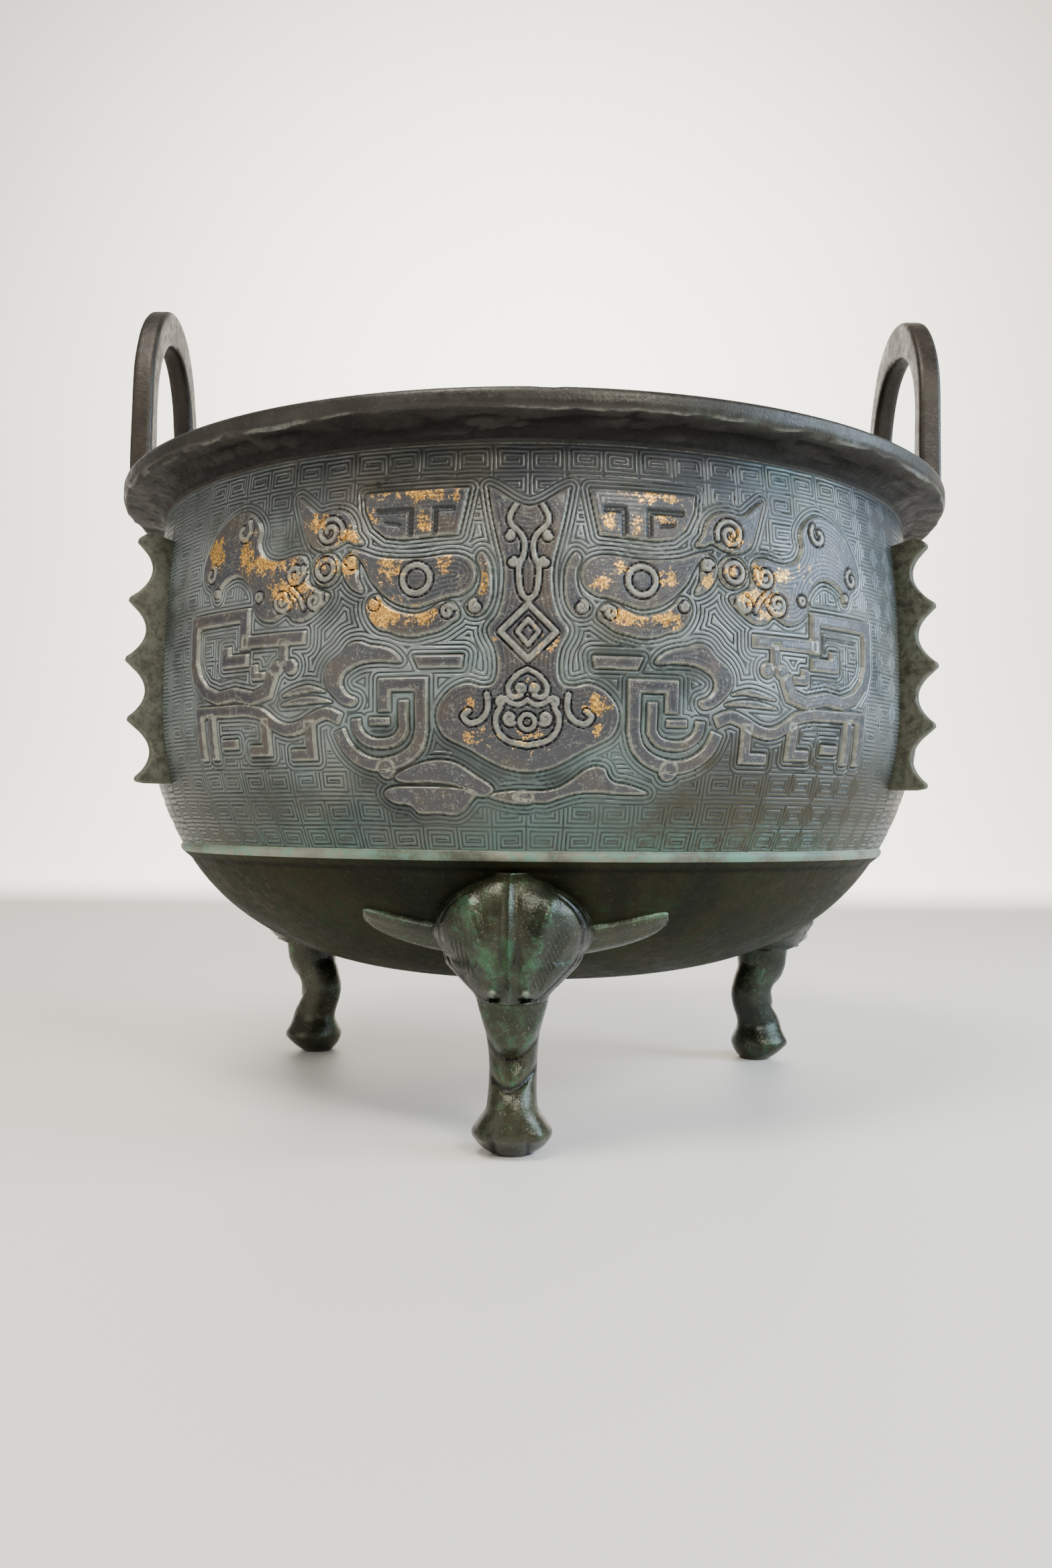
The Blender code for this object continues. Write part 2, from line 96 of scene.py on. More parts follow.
@dataclass(frozen=True)
class BowlForm:
    """Turned form of the bowl, in metres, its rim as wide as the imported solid."""

    rim_radius: float = CAD_BOX[1].x
    rim_top: float = 0.1993
    rim_edge: float = 0.0052
    wall: float = 0.0042
    belly_radius: float = 0.1305
    belly_height: float = 0.1280
    neck_radius: float = 0.1264
    neck_height: float = 0.1885
    band_height: float = 0.0820
    band_proud: float = 0.0014
    band_half_width: float = 0.0018
    bottom_height: float = 0.0391
    shoulder: float = 0.1250
    shoulder_height: float = 0.1043
    breadth_power: float = 0.657
    depth_power: float = 1.12
    lower_power: float = 2.25

    def underbody_radius(self, height: Array | float, inset: float = 0.0) -> Array:
        """Radius of the rounded bottom.

        Args:
            height: Height or heights above the table.
            inset: Distance inside the outer surface.

        Returns:
            The radius at each height.
        """
        depth = self.shoulder_height - self.bottom_height - inset
        share = np.clip((self.shoulder_height - np.asarray(height, float)) / depth, 0.0, 1.0)
        share = share ** (1.0 / self.depth_power)
        return (self.shoulder - inset) * np.sqrt(1.0 - share * share) ** self.breadth_power

    def wall_radius(self, height: Array | float) -> Array:
        """Radius of the upright wall between the band and the neck.

        Args:
            height: Height or heights above the table.

        Returns:
            The radius at each height.
        """
        above = (self.belly_radius - self.neck_radius) / (self.neck_height - self.belly_height) ** 2
        drop = self.belly_radius - float(self.underbody_radius(self.band_height))
        below = drop / (self.belly_height - self.band_height) ** self.lower_power
        off = np.asarray(height, float) - self.belly_height
        fall = np.where(off > 0.0, above * off ** 2, below * np.abs(off) ** self.lower_power)
        return self.belly_radius - fall


FORM = BowlForm()


class Noise:
    """Smooth lattice noise with a fixed seed, for irregular casting."""

    def __init__(self, seed: int) -> None:
        """Fills the lattice with values from -1 to 1."""
        self.size = 32
        self.lattice = np.random.default_rng(seed).uniform(-1.0, 1.0, (self.size,) * 3)

    def at(self, points: Array) -> Array:
        """Noise at points given in lattice cells.

        Args:
            points: Array whose last axis is x, y, z.

        Returns:
            One value for each point, about -1 to 1.
        """
        low = np.floor(points).astype(int)
        part = points - low
        part = part * part * (3.0 - 2.0 * part)
        total = np.zeros(points.shape[:-1])
        for corner in range(8):
            step = np.array([corner & 1, (corner >> 1) & 1, (corner >> 2) & 1])
            weight = np.prod(np.where(step, part, 1.0 - part), axis=-1)
            cell = (low + step) % self.size
            total += weight * self.lattice[cell[..., 0], cell[..., 1], cell[..., 2]]
        return total

    def layers(self, points: Array, count: int = 3) -> Array:
        """Sum of octaves of the noise, each twice as fine and half as strong.

        Args:
            points: Array whose last axis is x, y, z, in cells of the coarsest octave.
            count: How many octaves are added.

        Returns:
            One value for each point.
        """
        total = np.zeros(points.shape[:-1])
        for octave in range(count):
            total += self.at(points * 2.0 ** octave + 7.3 * octave) * 0.5 ** octave
        return total


def fade(low: float, high: float, value: Array) -> Array:
    """Soft ramp from 0 at low to 1 at high."""
    share = np.clip((value - low) / (high - low), 0.0, 1.0)
    return share * share * (3.0 - 2.0 * share)


def hump(value: Array | float, centre: float, width: float) -> Array:
    """Smooth hump of height 1 round a centre, as a value passes it."""
    return np.exp(-((value - centre) / width) ** 2)


def rounded(points: Points, closed: bool, steps: int = 5) -> Points:
    """Smooth curve through guide points.

    Args:
        points: Guide points.
        closed: Whether the curve returns to its start.
        steps: Points made for each stretch between two guides.

    Returns:
        Points along the curve.
    """
    guides = np.array(points, float)
    count = len(guides)
    made = []
    for i in range(count if closed else count - 1):
        if closed:
            a, b, c, d = (guides[(i + k) % count] for k in (-1, 0, 1, 2))
        else:
            a, b, c, d = (guides[min(max(i + k, 0), count - 1)] for k in (-1, 0, 1, 2))
        for k in range(steps):
            t = k / steps
            made.append(tuple(0.5 * (2.0 * b + (c - a) * t + (2.0 * a - 5.0 * b + 4.0 * c - d) * t ** 2
                                     + (3.0 * b - a - 3.0 * c + d) * t ** 3)))
    if not closed:
        made.append(tuple(guides[-1]))
    return made


def ring(centre: Point, radius: float, sides: int = 20) -> Points:
    """Points round a circle."""
    turns = [2.0 * math.pi * i / sides for i in range(sides)]
    return [(centre[0] + radius * math.cos(t), centre[1] + radius * math.sin(t)) for t in turns]


def volute(centre: Point, outer: float, inner: float, start: float, sweep: float) -> Points:
    """Spiral line that winds in from outer to inner radius.

    Args:
        centre: Middle of the spiral.
        outer: Radius where it starts.
        inner: Radius where it ends.
        start: Angle of the start, in degrees from the right.
        sweep: Angle that it winds through, in degrees, negative clockwise.

    Returns:
        Points along the spiral.
    """
    count = max(6, int(abs(sweep) / 24.0))
    made = []
    for i in range(count + 1):
        share = i / count
        radius = outer + (inner - outer) * share
        turn = math.radians(start + sweep * share)
        made.append((centre[0] + radius * math.cos(turn), centre[1] + radius * math.sin(turn)))
    return made


def mirrored(points: Points) -> Points:
    """The same points on the other side of the mask's middle line."""
    return [(-s, z) for s, z in reversed(points)]


class Side(Enum):
    """Which halves of a mask carry a figure."""

    BOTH = "both"
    RIGHT = "right"
    LEFT = "left"
    MIDDLE = "middle"

    def halves(self, path: Points) -> list[Points]:
        """The path, and its mirror image where both halves carry it."""
        return [path, mirrored(path)] if self is Side.BOTH else [path]


@dataclass(frozen=True)
class Plate:
    """Raised figure of a mask, given by its outline on the sheet in millimetres."""

    outline: Points
    side: Side = Side.BOTH
    soft: bool = True
    lift: float = 1.0

    def outlines(self) -> list[Points]:
        """Outlines of the figure on each half that carries it."""
        return self.side.halves(rounded(self.outline, True) if self.soft else self.outline)


@dataclass(frozen=True)
class Bar:
    """Raised figure of even width along a bent line, with mitred corners."""

    path: Points
    width: float = 3.2
    side: Side = Side.BOTH
    lift: float = 1.0

    def outlines(self) -> list[Points]:
        """Outlines of the bar on each half that carries it.

        Returns:
            One closed outline for each half.
        """
        line = np.array(self.path, float)
        ways = np.diff(line, axis=0)
        ways /= np.linalg.norm(ways, axis=1)[:, None]
        before = np.vstack([ways[:1], ways])
        after = np.vstack([ways, ways[-1:]])
        normal = np.stack([-(before + after)[:, 1], (before + after)[:, 0]], 1)
        normal /= np.linalg.norm(normal, axis=1)[:, None]
        edge = np.stack([-after[:, 1], after[:, 0]], 1)
        reach = 0.5 * self.width / np.maximum((normal * edge).sum(1), 0.5)
        left = line + normal * reach[:, None]
        right = line - normal * reach[:, None]
        return self.side.halves([tuple(p) for p in np.vstack([left, right[::-1]])])


@dataclass(frozen=True)
class Line:
    """Line on the plates of a mask, raised between two furrows or sunk, along a path in millimetres."""

    path: Points
    width: float = 1.2
    closed: bool = False
    side: Side = Side.BOTH
    soft: bool = True
    sunk: bool = False

    def paths(self) -> list[Points]:
        """Paths of the line on each half that carries it.

        Returns:
            One path for each half, its start repeated at the end where it is closed.
        """
        base = rounded(self.path, self.closed) if self.soft else list(self.path)
        return self.side.halves(base + base[:1] if self.closed else base)


@dataclass(frozen=True)
class Gilt:
    """Patch where gilding is left: its middle and half sizes on the sheet, in millimetres."""

    s: float
    z: float
    half_width: float
    half_height: float
    strength: float = 1.0


@dataclass(frozen=True)
class Sheet:
    """Flat sheet that the mask is drawn on, in millimetres, as wide as a third of the bowl."""

    width: float = 273.3
    low: float = 82.0
    high: float = 188.5
    cells: int = 28
    rows: int = 14
    thread: float = 1.15
    back_thread: float = 1.9

    @property
    def cell_width(self) -> float:
        """Width of one spiral's cell."""
        return self.width / self.cells

    @property
    def cell_height(self) -> float:
        """Height of one spiral's cell."""
        return (self.high - self.low) / self.rows


SHEET = Sheet()


class MaskDrawing:
    """The monster mask: its plates, lines and gilding, in millimetres on the sheet."""

    def plates(self, fault: bool) -> list[Plate | Bar]:
        """Raised figures of one mask.

        Args:
            fault: Whether the casting fault takes the place of the chin's left half.

        Returns:
            The figures, from the middle outwards.
        """
        return self.middle() + self.eyes() + self.ears() + self.hooks() + self.chin(fault)

    def middle(self) -> list[Plate | Bar]:
        """Forehead, nose and nostrils.

        Returns:
            The figure: forehead, nose and nostrils in one.
        """
        half = [(9.6, 176.5), (10.3, 175.8), (9.0, 168.4), (7.3, 161.4), (6.2, 156.8), (6.0, 152.2),
                (6.5, 147.4), (7.9, 143.2), (10.2, 139.6), (8.1, 134.8), (7.5, 129.6), (8.6, 126.0),
                (11.6, 125.2), (15.6, 126.0), (19.6, 124.3), (22.7, 120.6), (23.3, 116.8), (21.6, 113.0),
                (18.0, 110.9), (14.4, 109.2), (11.0, 107.2), (6.8, 105.1), (2.6, 104.0)]
        return [Plate([(0.0, 171.6)] + half + [(0.0, 103.8)] + mirrored(half), Side.MIDDLE)]

    def eyes(self) -> list[Plate | Bar]:
        """Brows, eyes, the scroll round each eye and the cloud under it.

        Returns:
            The figures.
        """
        brow = [(15.9, 176.8), (44.8, 176.5), (44.2, 172.0), (41.8, 167.4), (38.2, 164.6), (33.4, 163.8),
                (18.4, 164.8), (16.9, 171.6)]
        eye = [(13.6, 154.2), (14.6, 151.0), (17.4, 148.9), (20.6, 148.4), (24.4, 147.2), (29.0, 145.9),
               (34.2, 147.0), (38.6, 149.9), (41.8, 153.3), (43.8, 157.0), (46.4, 160.2), (49.4, 162.2),
               (44.6, 160.9), (40.4, 159.4), (34.6, 158.6), (28.0, 158.5), (21.4, 159.2), (17.2, 158.8),
               (14.6, 157.0)]
        socket = [(11.9, 159.7), (9.9, 156.2), (9.4, 151.2), (9.9, 147.0), (12.0, 143.8), (14.8, 143.6),
                  (16.2, 145.6), (14.8, 147.4), (13.4, 148.6), (12.3, 151.4), (12.2, 155.0), (13.3, 158.2)]
        cloud = [(17.8, 143.4), (19.8, 141.6), (22.6, 139.8), (26.0, 139.0), (29.6, 138.3), (33.6, 138.8),
                 (36.4, 139.9), (39.4, 140.6), (41.8, 143.0), (43.0, 146.2), (42.0, 148.8), (39.8, 149.2),
                 (38.2, 147.2), (34.6, 145.0), (29.4, 143.9), (25.4, 145.1), (22.4, 146.8), (19.4, 146.6)]
        return [Plate(brow, soft=False), Plate(eye), Plate(socket), Plate(cloud)]

    def ears(self) -> list[Plate | Bar]:
        """Curls beside the eyes and the leaf-shaped ears.

        Returns:
            The figures.
        """
        comma = [(44.8, 163.4), (46.8, 166.0), (48.0, 169.6), (50.6, 172.2), (54.6, 173.0), (59.2, 172.6),
                 (62.6, 175.0), (66.2, 177.4), (64.6, 172.4), (63.2, 168.4), (61.2, 164.4), (57.4, 162.4),
                 (53.0, 162.9), (49.6, 164.4), (47.2, 163.4)]
        hook = [(46.6, 160.8), (49.8, 160.2), (50.6, 156.6), (48.2, 152.2), (44.4, 150.4), (45.8, 153.8),
                (46.2, 157.6)]
        leaf = [(62.4, 160.6), (66.0, 161.6), (72.0, 160.8), (77.0, 162.3), (79.6, 166.0), (79.2, 170.0),
                (81.5, 173.6), (86.0, 176.2), (91.0, 176.0), (96.0, 174.0), (100.5, 170.0), (104.5, 163.5),
                (103.8, 158.6), (100.4, 156.4), (98.6, 152.8), (96.4, 152.8), (95.4, 155.9), (91.8, 157.9),
                (87.4, 158.2), (83.4, 155.9), (81.0, 152.5), (80.6, 148.5), (77.4, 145.4), (73.0, 144.5),
                (68.6, 146.3), (65.8, 144.3), (61.8, 144.1), (57.6, 146.6), (54.4, 150.0), (57.6, 151.6),
                (61.0, 153.6), (61.6, 157.2)]
        return [Plate(comma), Plate(ring((55.6, 157.0), 4.3)), Plate(hook), Plate(leaf)]

    def hooks(self) -> list[Plate | Bar]:
        """Squared hooks of the jaws, the crests over them and the short bars beside the nose.

        Returns:
            The figures.
        """
        crest = [(33.2, 131.8), (33.8, 133.4), (36.0, 135.0), (39.0, 135.9), (42.0, 136.4), (44.6, 137.3),
                 (47.6, 136.9), (50.0, 134.4), (53.2, 132.0), (54.8, 129.4), (54.6, 126.4), (52.2, 123.4),
                 (49.2, 121.2), (46.4, 120.8), (45.4, 122.4), (48.0, 123.6), (49.6, 125.9), (49.4, 128.6),
                 (47.0, 130.6), (43.4, 131.9), (38.0, 132.1)]
        short_bar = [(17.0, 130.3), (28.2, 130.3), (29.6, 133.2), (16.6, 133.2)]
        jaw = [(83.8, 137.4), (83.8, 147.0), (107.6, 147.0), (107.6, 135.2), (105.6, 130.4), (101.2, 126.6),
               (95.0, 124.6), (88.0, 125.4), (80.0, 123.8), (74.4, 125.4), (72.2, 130.6)]
        sweep = rounded([(50.4, 117.4), (54.4, 119.0), (58.6, 117.8), (63.2, 115.6), (68.0, 115.0),
                         (72.4, 116.6), (77.0, 119.6), (83.0, 120.8)], False, 3)
        jowl = rounded([(27.4, 114.4), (28.6, 110.4), (31.6, 107.5), (36.0, 105.8), (41.0, 105.5),
                        (45.6, 107.2), (49.0, 110.4), (50.8, 114.4)], False, 3)
        tooth = rounded([(32.3, 114.4), (34.2, 111.9), (38.0, 110.9), (42.2, 111.4), (45.2, 114.0),
                         (45.8, 117.2)], False, 3)
        whisker = [(53.0, 121.9), (58.0, 123.3), (64.0, 123.1), (69.6, 121.6), (64.0, 121.7), (58.0, 121.9)]
        feather = [(55.0, 124.7), (60.0, 126.3), (65.0, 125.6), (69.0, 124.0), (64.0, 124.5), (59.0, 125.0)]
        return [Plate(crest), Plate(short_bar, soft=False), Bar(jaw, 3.6),
                Bar([(82.0, 134.6), (91.4, 134.6), (91.4, 138.6)], 3.2),
                Bar([(61.6, 139.4), (84.0, 139.4)], 3.2),
                Bar([(68.8, 139.0), (68.8, 132.4)], 2.6),
                Plate(ring((66.2, 131.8), 2.0, 12)), Plate(ring((71.0, 131.6), 1.9, 12)),
                Bar([(79.4, 133.0), (79.4, 129.8), (75.6, 129.8)], 1.9),
                Bar(sweep + [(104.4, 121.0), (104.4, 107.6)], 3.0),
                Bar([(59.8, 117.0), (59.8, 108.2), (66.8, 108.2)], 2.8),
                Bar([(75.4, 118.0), (75.4, 109.6), (82.2, 109.6)], 2.8),
                Bar([(98.4, 120.0), (98.4, 107.6)], 2.6),
                Bar([(87.2, 111.6), (94.0, 111.6)], 2.4),
                Bar([(37.6, 119.2), (37.6, 126.0), (27.4, 126.0)] + jowl, 3.2),
                Plate(ring((37.6, 104.4), 2.4, 12)),
                Bar([(32.3, 121.8)] + tooth, 2.4),
                Bar([(36.4, 116.6), (41.8, 116.6)], 1.7),
                Plate(whisker, lift=0.7), Plate(feather, lift=0.7)]

    def chin(self, fault: bool) -> list[Plate | Bar]:
        """Curled band under the jaw, or its right half and the lump that the fault left.

        Args:
            fault: Whether this mask has the casting fault.

        Returns:
            The figures.
        """
        half = [(4.0, 98.8), (8.2, 99.6), (12.0, 101.8), (14.8, 104.0), (17.6, 105.1), (20.2, 104.6),
                (21.2, 102.8), (23.0, 101.2), (27.0, 100.5), (32.4, 98.6), (26.0, 98.4), (18.0, 98.8),
                (12.6, 98.4), (8.2, 97.1), (4.0, 96.0)]
        if not fault:
            return [Plate([(0.0, 98.8)] + half + [(0.0, 95.7)] + mirrored(half), Side.MIDDLE)]
        upper = [(-9.0, 99.4), (-13.6, 102.6), (-18.8, 105.8), (-24.4, 106.4), (-30.2, 105.0),
                 (-35.4, 102.4), (-32.6, 100.9), (-26.0, 101.0), (-19.0, 100.2), (-12.0, 97.4)]
        bridge = [(-10.0, 97.6), (-4.0, 98.8), (1.0, 98.6), (1.0, 95.8), (-4.0, 95.9)]
        lower = [(-39.0, 98.0), (-36.6, 95.8), (-31.8, 95.0), (-29.4, 93.0), (-24.4, 93.1), (-18.6, 92.9),
                 (-14.8, 96.4), (-13.6, 98.4), (-20.4, 99.6), (-29.8, 99.8), (-36.0, 99.6)]
        return [Plate([(-3.6, 97.2), (0.0, 98.8)] + half, Side.RIGHT), Plate(bridge, Side.LEFT),
                Plate(upper, Side.LEFT, lift=0.9), Plate(lower, Side.LEFT, lift=1.15)]

    def lines(self) -> list[Line]:
        """Lines on the plates: raised ones, and the squared ones of the brows, which are sunk.

        Returns:
            The lines, from the middle outwards.
        """
        diamond = [(0.0, 146.2), (7.1, 139.1), (0.0, 132.0), (-7.1, 139.1)]
        core = [(0.0, 142.4), (2.7, 139.1), (0.0, 135.8), (-2.7, 139.1)]
        shield = [(3.2, 172.4), (4.9, 169.2), (4.6, 166.8), (2.3, 164.6), (1.1, 162.0), (1.4, 158.6),
                  (2.5, 156.0), (2.4, 152.0), (1.7, 148.8), (0.0, 147.3)]
        heart = [(0.0, 129.6), (2.6, 128.2), (4.6, 125.8), (4.8, 123.6), (3.4, 122.4), (1.6, 123.0)]
        crown = [(0.0, 121.8), (2.0, 120.6), (4.2, 121.0), (5.6, 122.2)]
        smile = [(6.8, 119.8), (8.0, 117.4), (7.4, 113.9), (4.8, 111.4), (0.0, 110.3)]
        nostril = [(10.3, 123.2), (10.0, 119.6), (11.7, 116.8), (14.6, 115.9), (16.3, 117.6), (14.9, 119.0)]
        brow_left = [(20.0, 171.5), (24.7, 171.5), (24.7, 165.4)]
        brow_right = [(40.6, 171.4), (31.4, 171.4), (31.4, 165.0)]
        brow_foot = [(34.6, 167.6), (38.2, 168.2)]
        scrolls = ((20.6, 144.3, 1.8, 0.4, 150, -380, 1.0), (13.4, 145.6, 1.6, 0.3, 80, -400, 0.9),
                   (40.4, 146.8, 1.3, 0.3, 60, -300, 0.9), (54.8, 167.0, 4.2, 0.9, 200, -560, 1.1),
                   (47.6, 158.0, 1.6, 0.4, 20, 400, 0.9), (65.4, 156.6, 3.0, 0.6, 150, 520, 1.2),
                   (58.6, 148.8, 2.6, 0.6, 100, 500, 1.1), (69.4, 149.6, 3.0, 0.6, 200, 520, 1.2),
                   (86.2, 170.6, 3.2, 1.0, 130, 300, 1.5), (100.2, 160.0, 2.5, 0.8, 100, 320, 1.3))
        rings = ((29.2, 153.0, 3.7, 24, 1.5), (55.6, 157.0, 2.6, 16, 1.2), (78.2, 151.4, 0.9, 10, 0.9),
                 (96.9, 154.3, 0.7, 8, 0.7))
        nose = [Line(diamond, 1.5, True, Side.MIDDLE, False), Line(core, 0.9, True, Side.MIDDLE, False),
                Line(shield, 1.3), Line(volute((5.0, 163.8), 1.0, 0.3, 100, 300), 1.3),
                Line(volute((4.2, 157.0), 1.0, 0.3, 120, 300), 1.2),
                Line(heart, 1.1), Line(volute((1.9, 124.6), 1.2, 0.3, 200, -360), 0.9),
                Line(crown, 1.0), Line(volute((6.7, 121.2), 1.3, 0.3, 160, -330), 1.0),
                Line(smile, 1.3), Line(ring((0.0, 116.2), 1.9, 14), 1.0, True, Side.MIDDLE),
                Line(volute((4.4, 117.2), 1.7, 0.4, 230, 420), 0.9), Line(nostril, 1.4)]
        brows = [Line(brow_left, 1.9, soft=False, sunk=True), Line(brow_right, 1.9, soft=False, sunk=True),
                 Line(brow_foot, 1.1, soft=False, sunk=True)]
        return (nose + brows
                + [Line(ring((s, z), radius, sides), width, True) for s, z, radius, sides, width in rings]
                + [Line(volute((s, z), *turns), width) for s, z, *turns, width in scrolls]
                + [Line([(62.0, 147.0), (63.6, 150.0), (66.4, 152.6)], 1.0)])

    def gilding(self) -> list[Gilt]:
        """Patches of worn gilding, to the right and the left of the middle line.

        Returns:
            The patches, which differ on the two halves.
        """
        right = ((34, 175, 10, 2.4), (20.6, 168, 2.8, 3.2, 1.3), (24, 162.6, 9, 1.5, 1.2),
                 (43.5, 167.5, 3, 2.4), (18.5, 152.5, 3.4, 3), (23, 156, 4, 2.6), (36.5, 154, 3.8, 3.6),
                 (25.6, 143.6, 5, 2.8, 1.2), (36, 143.4, 4.4, 2.8, 1.2), (17.4, 120.6, 4.4, 3.6, 1.2),
                 (17.6, 114.6, 2.4, 3.0), (56, 166, 4, 3.4), (55, 157, 2.8, 2.4), (63, 157, 3, 3.4, 1.2),
                 (71, 157.6, 6, 3), (62, 150.4, 8, 3.2, 1.1), (67, 146.4, 5, 2.4), (47.6, 154, 3, 2.4),
                 (79, 160, 6, 3, 0.9), (2.4, 176, 1.4, 1.0), (7, 134, 2.6, 5, 0.8),
                 (36.0, 169.4, 3.0, 2.6), (28.0, 167.4, 1.8, 3.4), (0.0, 112.0, 9, 5, 0.75),
                 (4.0, 138.0, 5, 7, 0.7), (0.0, 125.0, 5, 5, 0.7))
        left = ((-38.5, 177, 6, 2.2), (-28.5, 175.6, 8, 2.4, 1.1), (-19, 175, 3.4, 2.4),
                (-27.6, 167.6, 2.6, 3.2), (-47, 165, 6, 3.6, 1.2), (-48, 158, 6.4, 4, 1.2),
                (-37, 156, 4.6, 4), (-21.6, 156, 4.4, 4), (-38, 145, 6.2, 4.6, 1.4),
                (-27.6, 144, 6.4, 3.4, 1.1), (-12, 152, 2.2, 5), (-14.6, 120.6, 2.6, 3.2),
                (-12, 112.6, 6, 3.4, 0.8), (-98, 165, 4.6, 6, 1.1), (-84, 164, 5, 5.6),
                (-73, 161, 10, 4, 1.3), (-66, 152.6, 8, 5.4, 1.1), (-58, 170, 4.4, 3.4),
                (-56.4, 159, 3.4, 2.8), (-9, 136, 3, 5, 0.8), (-42.4, 170.4, 3.4, 2.4))
        return [Gilt(*patch) for patch in right + left]


@dataclass
class Relief:
    """Heights of a patch of the sheet, in millimetres: plates, lines, threads and spirals."""

    drawing: MaskDrawing
    fault: bool
    noise: Noise
    thread: float
    floor: float = -0.30
    plate_top: float = 0.98
    thread_top: float = 0.36
    first_groove: float = 0.42
    margin: float = 8.0
    fill_margin: float = 1.0
    bevel: Ramp = (-0.22, 0.24)
    spiral_start: Ramp = (2.9, 3.3)
    middle_side: Ramp = (66.0, 58.0)
    middle_foot: Ramp = (108.0, 112.0)
    middle_top: Ramp = (170.0, 164.0)
    beside_plate: Ramp = (0.20, 0.50)
    sheet_end: Ramp = (98.0, 122.0)
    low_border: float = 1.6
    high_border: float = 1.0
    wander: float = 0.22
    wander_scale: float = 0.11
    line_share: float = 0.30
    line_soft: float = 0.5
    crest_edge: Ramp = (0.05, 0.45)
    furrow_edge: Ramp = (0.95, 0.60)
    furrow_reach: float = 0.6
    line_rise: float = 0.25
    line_depth: float = 0.62

    def spirals(self, across: Array, up: Array) -> Array:
        """Distance to the spirals' outer grooves, grown by one thread at each turn inwards.

        Args:
            across: Places across the sheet, in cells.
            up: Heights on the sheet, in cells.

        Returns:
            The distance, in millimetres.
        """
        u = SHEET.cell_width * (1.0 - np.abs(across % 2.0 - 1.0))
        v = SHEET.cell_height * (1.0 - np.abs(up % 2.0 - 1.0))
        corner = np.where(v - u > self.thread, u, v)
        return np.minimum(corner, np.minimum(SHEET.cell_width - u, SHEET.cell_height - v))

    def distances(self, s: Array, z: Array) -> tuple[Array, Array]:
        """Distance from every point to the plates' outlines, negative inside a plate.

        Args:
            s: Rising places across the sheet, one for each column.
            z: Rising heights on the sheet, one for each row.

        Returns:
            The distances and the lift of the plate that each point is in or near.
        """
        nowhere_near = 30.0
        near = np.full((len(z), len(s)), nowhere_near)
        inside = np.zeros(near.shape, bool)
        lift = np.ones(near.shape)
        for plate in self.drawing.plates(self.fault):
            for outline in plate.outlines():
                points = np.array(outline)
                self._edges(near, np.vstack([points, points[:1]]), s, z, self.margin)
                self._fill(inside, lift, points, plate.lift, s, z)
        return np.where(inside, -near, near), lift

    @staticmethod
    def _window(points: Array, s: Array, z: Array, margin: float) -> tuple[slice, slice]:
        """Part of the patch that lies within a margin of some points.

        Args:
            points: The points.
            s: Place of each column.
            z: Height of each row.
            margin: How far round the points it reaches.

        Returns:
            Its rows and columns.
        """
        low, high = points.min(axis=0) - margin, points.max(axis=0) + margin
        cols = slice(np.searchsorted(s, low[0]), np.searchsorted(s, high[0]))
        rows = slice(np.searchsorted(z, low[1]), np.searchsorted(z, high[1]))
        return rows, cols

    def _edges(self, near: Array, path: Array, s: Array, z: Array, margin: float) -> None:
        """Lowers distances to those from a path.

        Args:
            near: Distance of every point so far.
            path: Points along the path.
            s: Place of each column.
            z: Height of each row.
            margin: How far from the path the distances are wanted.
        """
        for a, b in zip(path[:-1], path[1:]):
            rows, cols = self._window(np.array([a, b]), s, z, margin)
            if rows.stop <= rows.start or cols.stop <= cols.start:
                continue
            ds = s[None, cols] - a[0]
            dz = z[rows, None] - a[1]
            way = b - a
            share = np.clip((ds * way[0] + dz * way[1]) / max(float(way @ way), 1e-9), 0.0, 1.0)
            reach = np.hypot(ds - share * way[0], dz - share * way[1])
            near[rows, cols] = np.minimum(near[rows, cols], reach)

    def _fill(self, inside: Array, lift: Array, points: Array, raised: float, s: Array, z: Array) -> None:
        """Marks what lies inside an outline.

        Args:
            inside: Whether each point is in any plate so far.
            lift: Lift of each point's plate.
            points: The outline.
            raised: Lift of this plate.
            s: Place of each column.
            z: Height of each row.
        """
        rows, cols = self._window(points, s, z, self.fill_margin)
        if rows.stop <= rows.start or cols.stop <= cols.start:
            return
        ss = s[None, cols]
        zz = z[rows, None]
        odd = np.zeros((zz.shape[0], ss.shape[1]), bool)
        for (ax, ay), (bx, by) in zip(points, np.roll(points, -1, axis=0)):
            if ay == by:
                continue
            crosses = (zz < max(ay, by)) & (zz >= min(ay, by))
            odd ^= crosses & (ss < ax + (zz - ay) * (bx - ax) / (by - ay))
        inside[rows, cols] |= odd
        lift[rows, cols] = np.where(odd, raised, lift[rows, cols])

    def lines(self, s: Array, z: Array) -> Array:
        """The lines on the plates over a patch.

        Args:
            s: Place of each column.
            z: Height of each row.

        Returns:
            1 on a raised line, -1 in a furrow or a sunk line and 0 elsewhere.
        """
        total = np.zeros((len(z), len(s)))
        reach = 2.0
        nowhere_near = 9.0
        for line in self.drawing.lines():
            for path in line.paths():
                points = np.array(path)
                if points[:, 0].max() < s[0] - reach or points[:, 0].min() > s[-1] + reach:
                    continue
                near = np.full(total.shape, nowhere_near)
                self._edges(near, points, s, z, line.width + self.furrow_reach)
                total = self._draw(total, near, self.line_share * line.width, line.sunk)
        return total

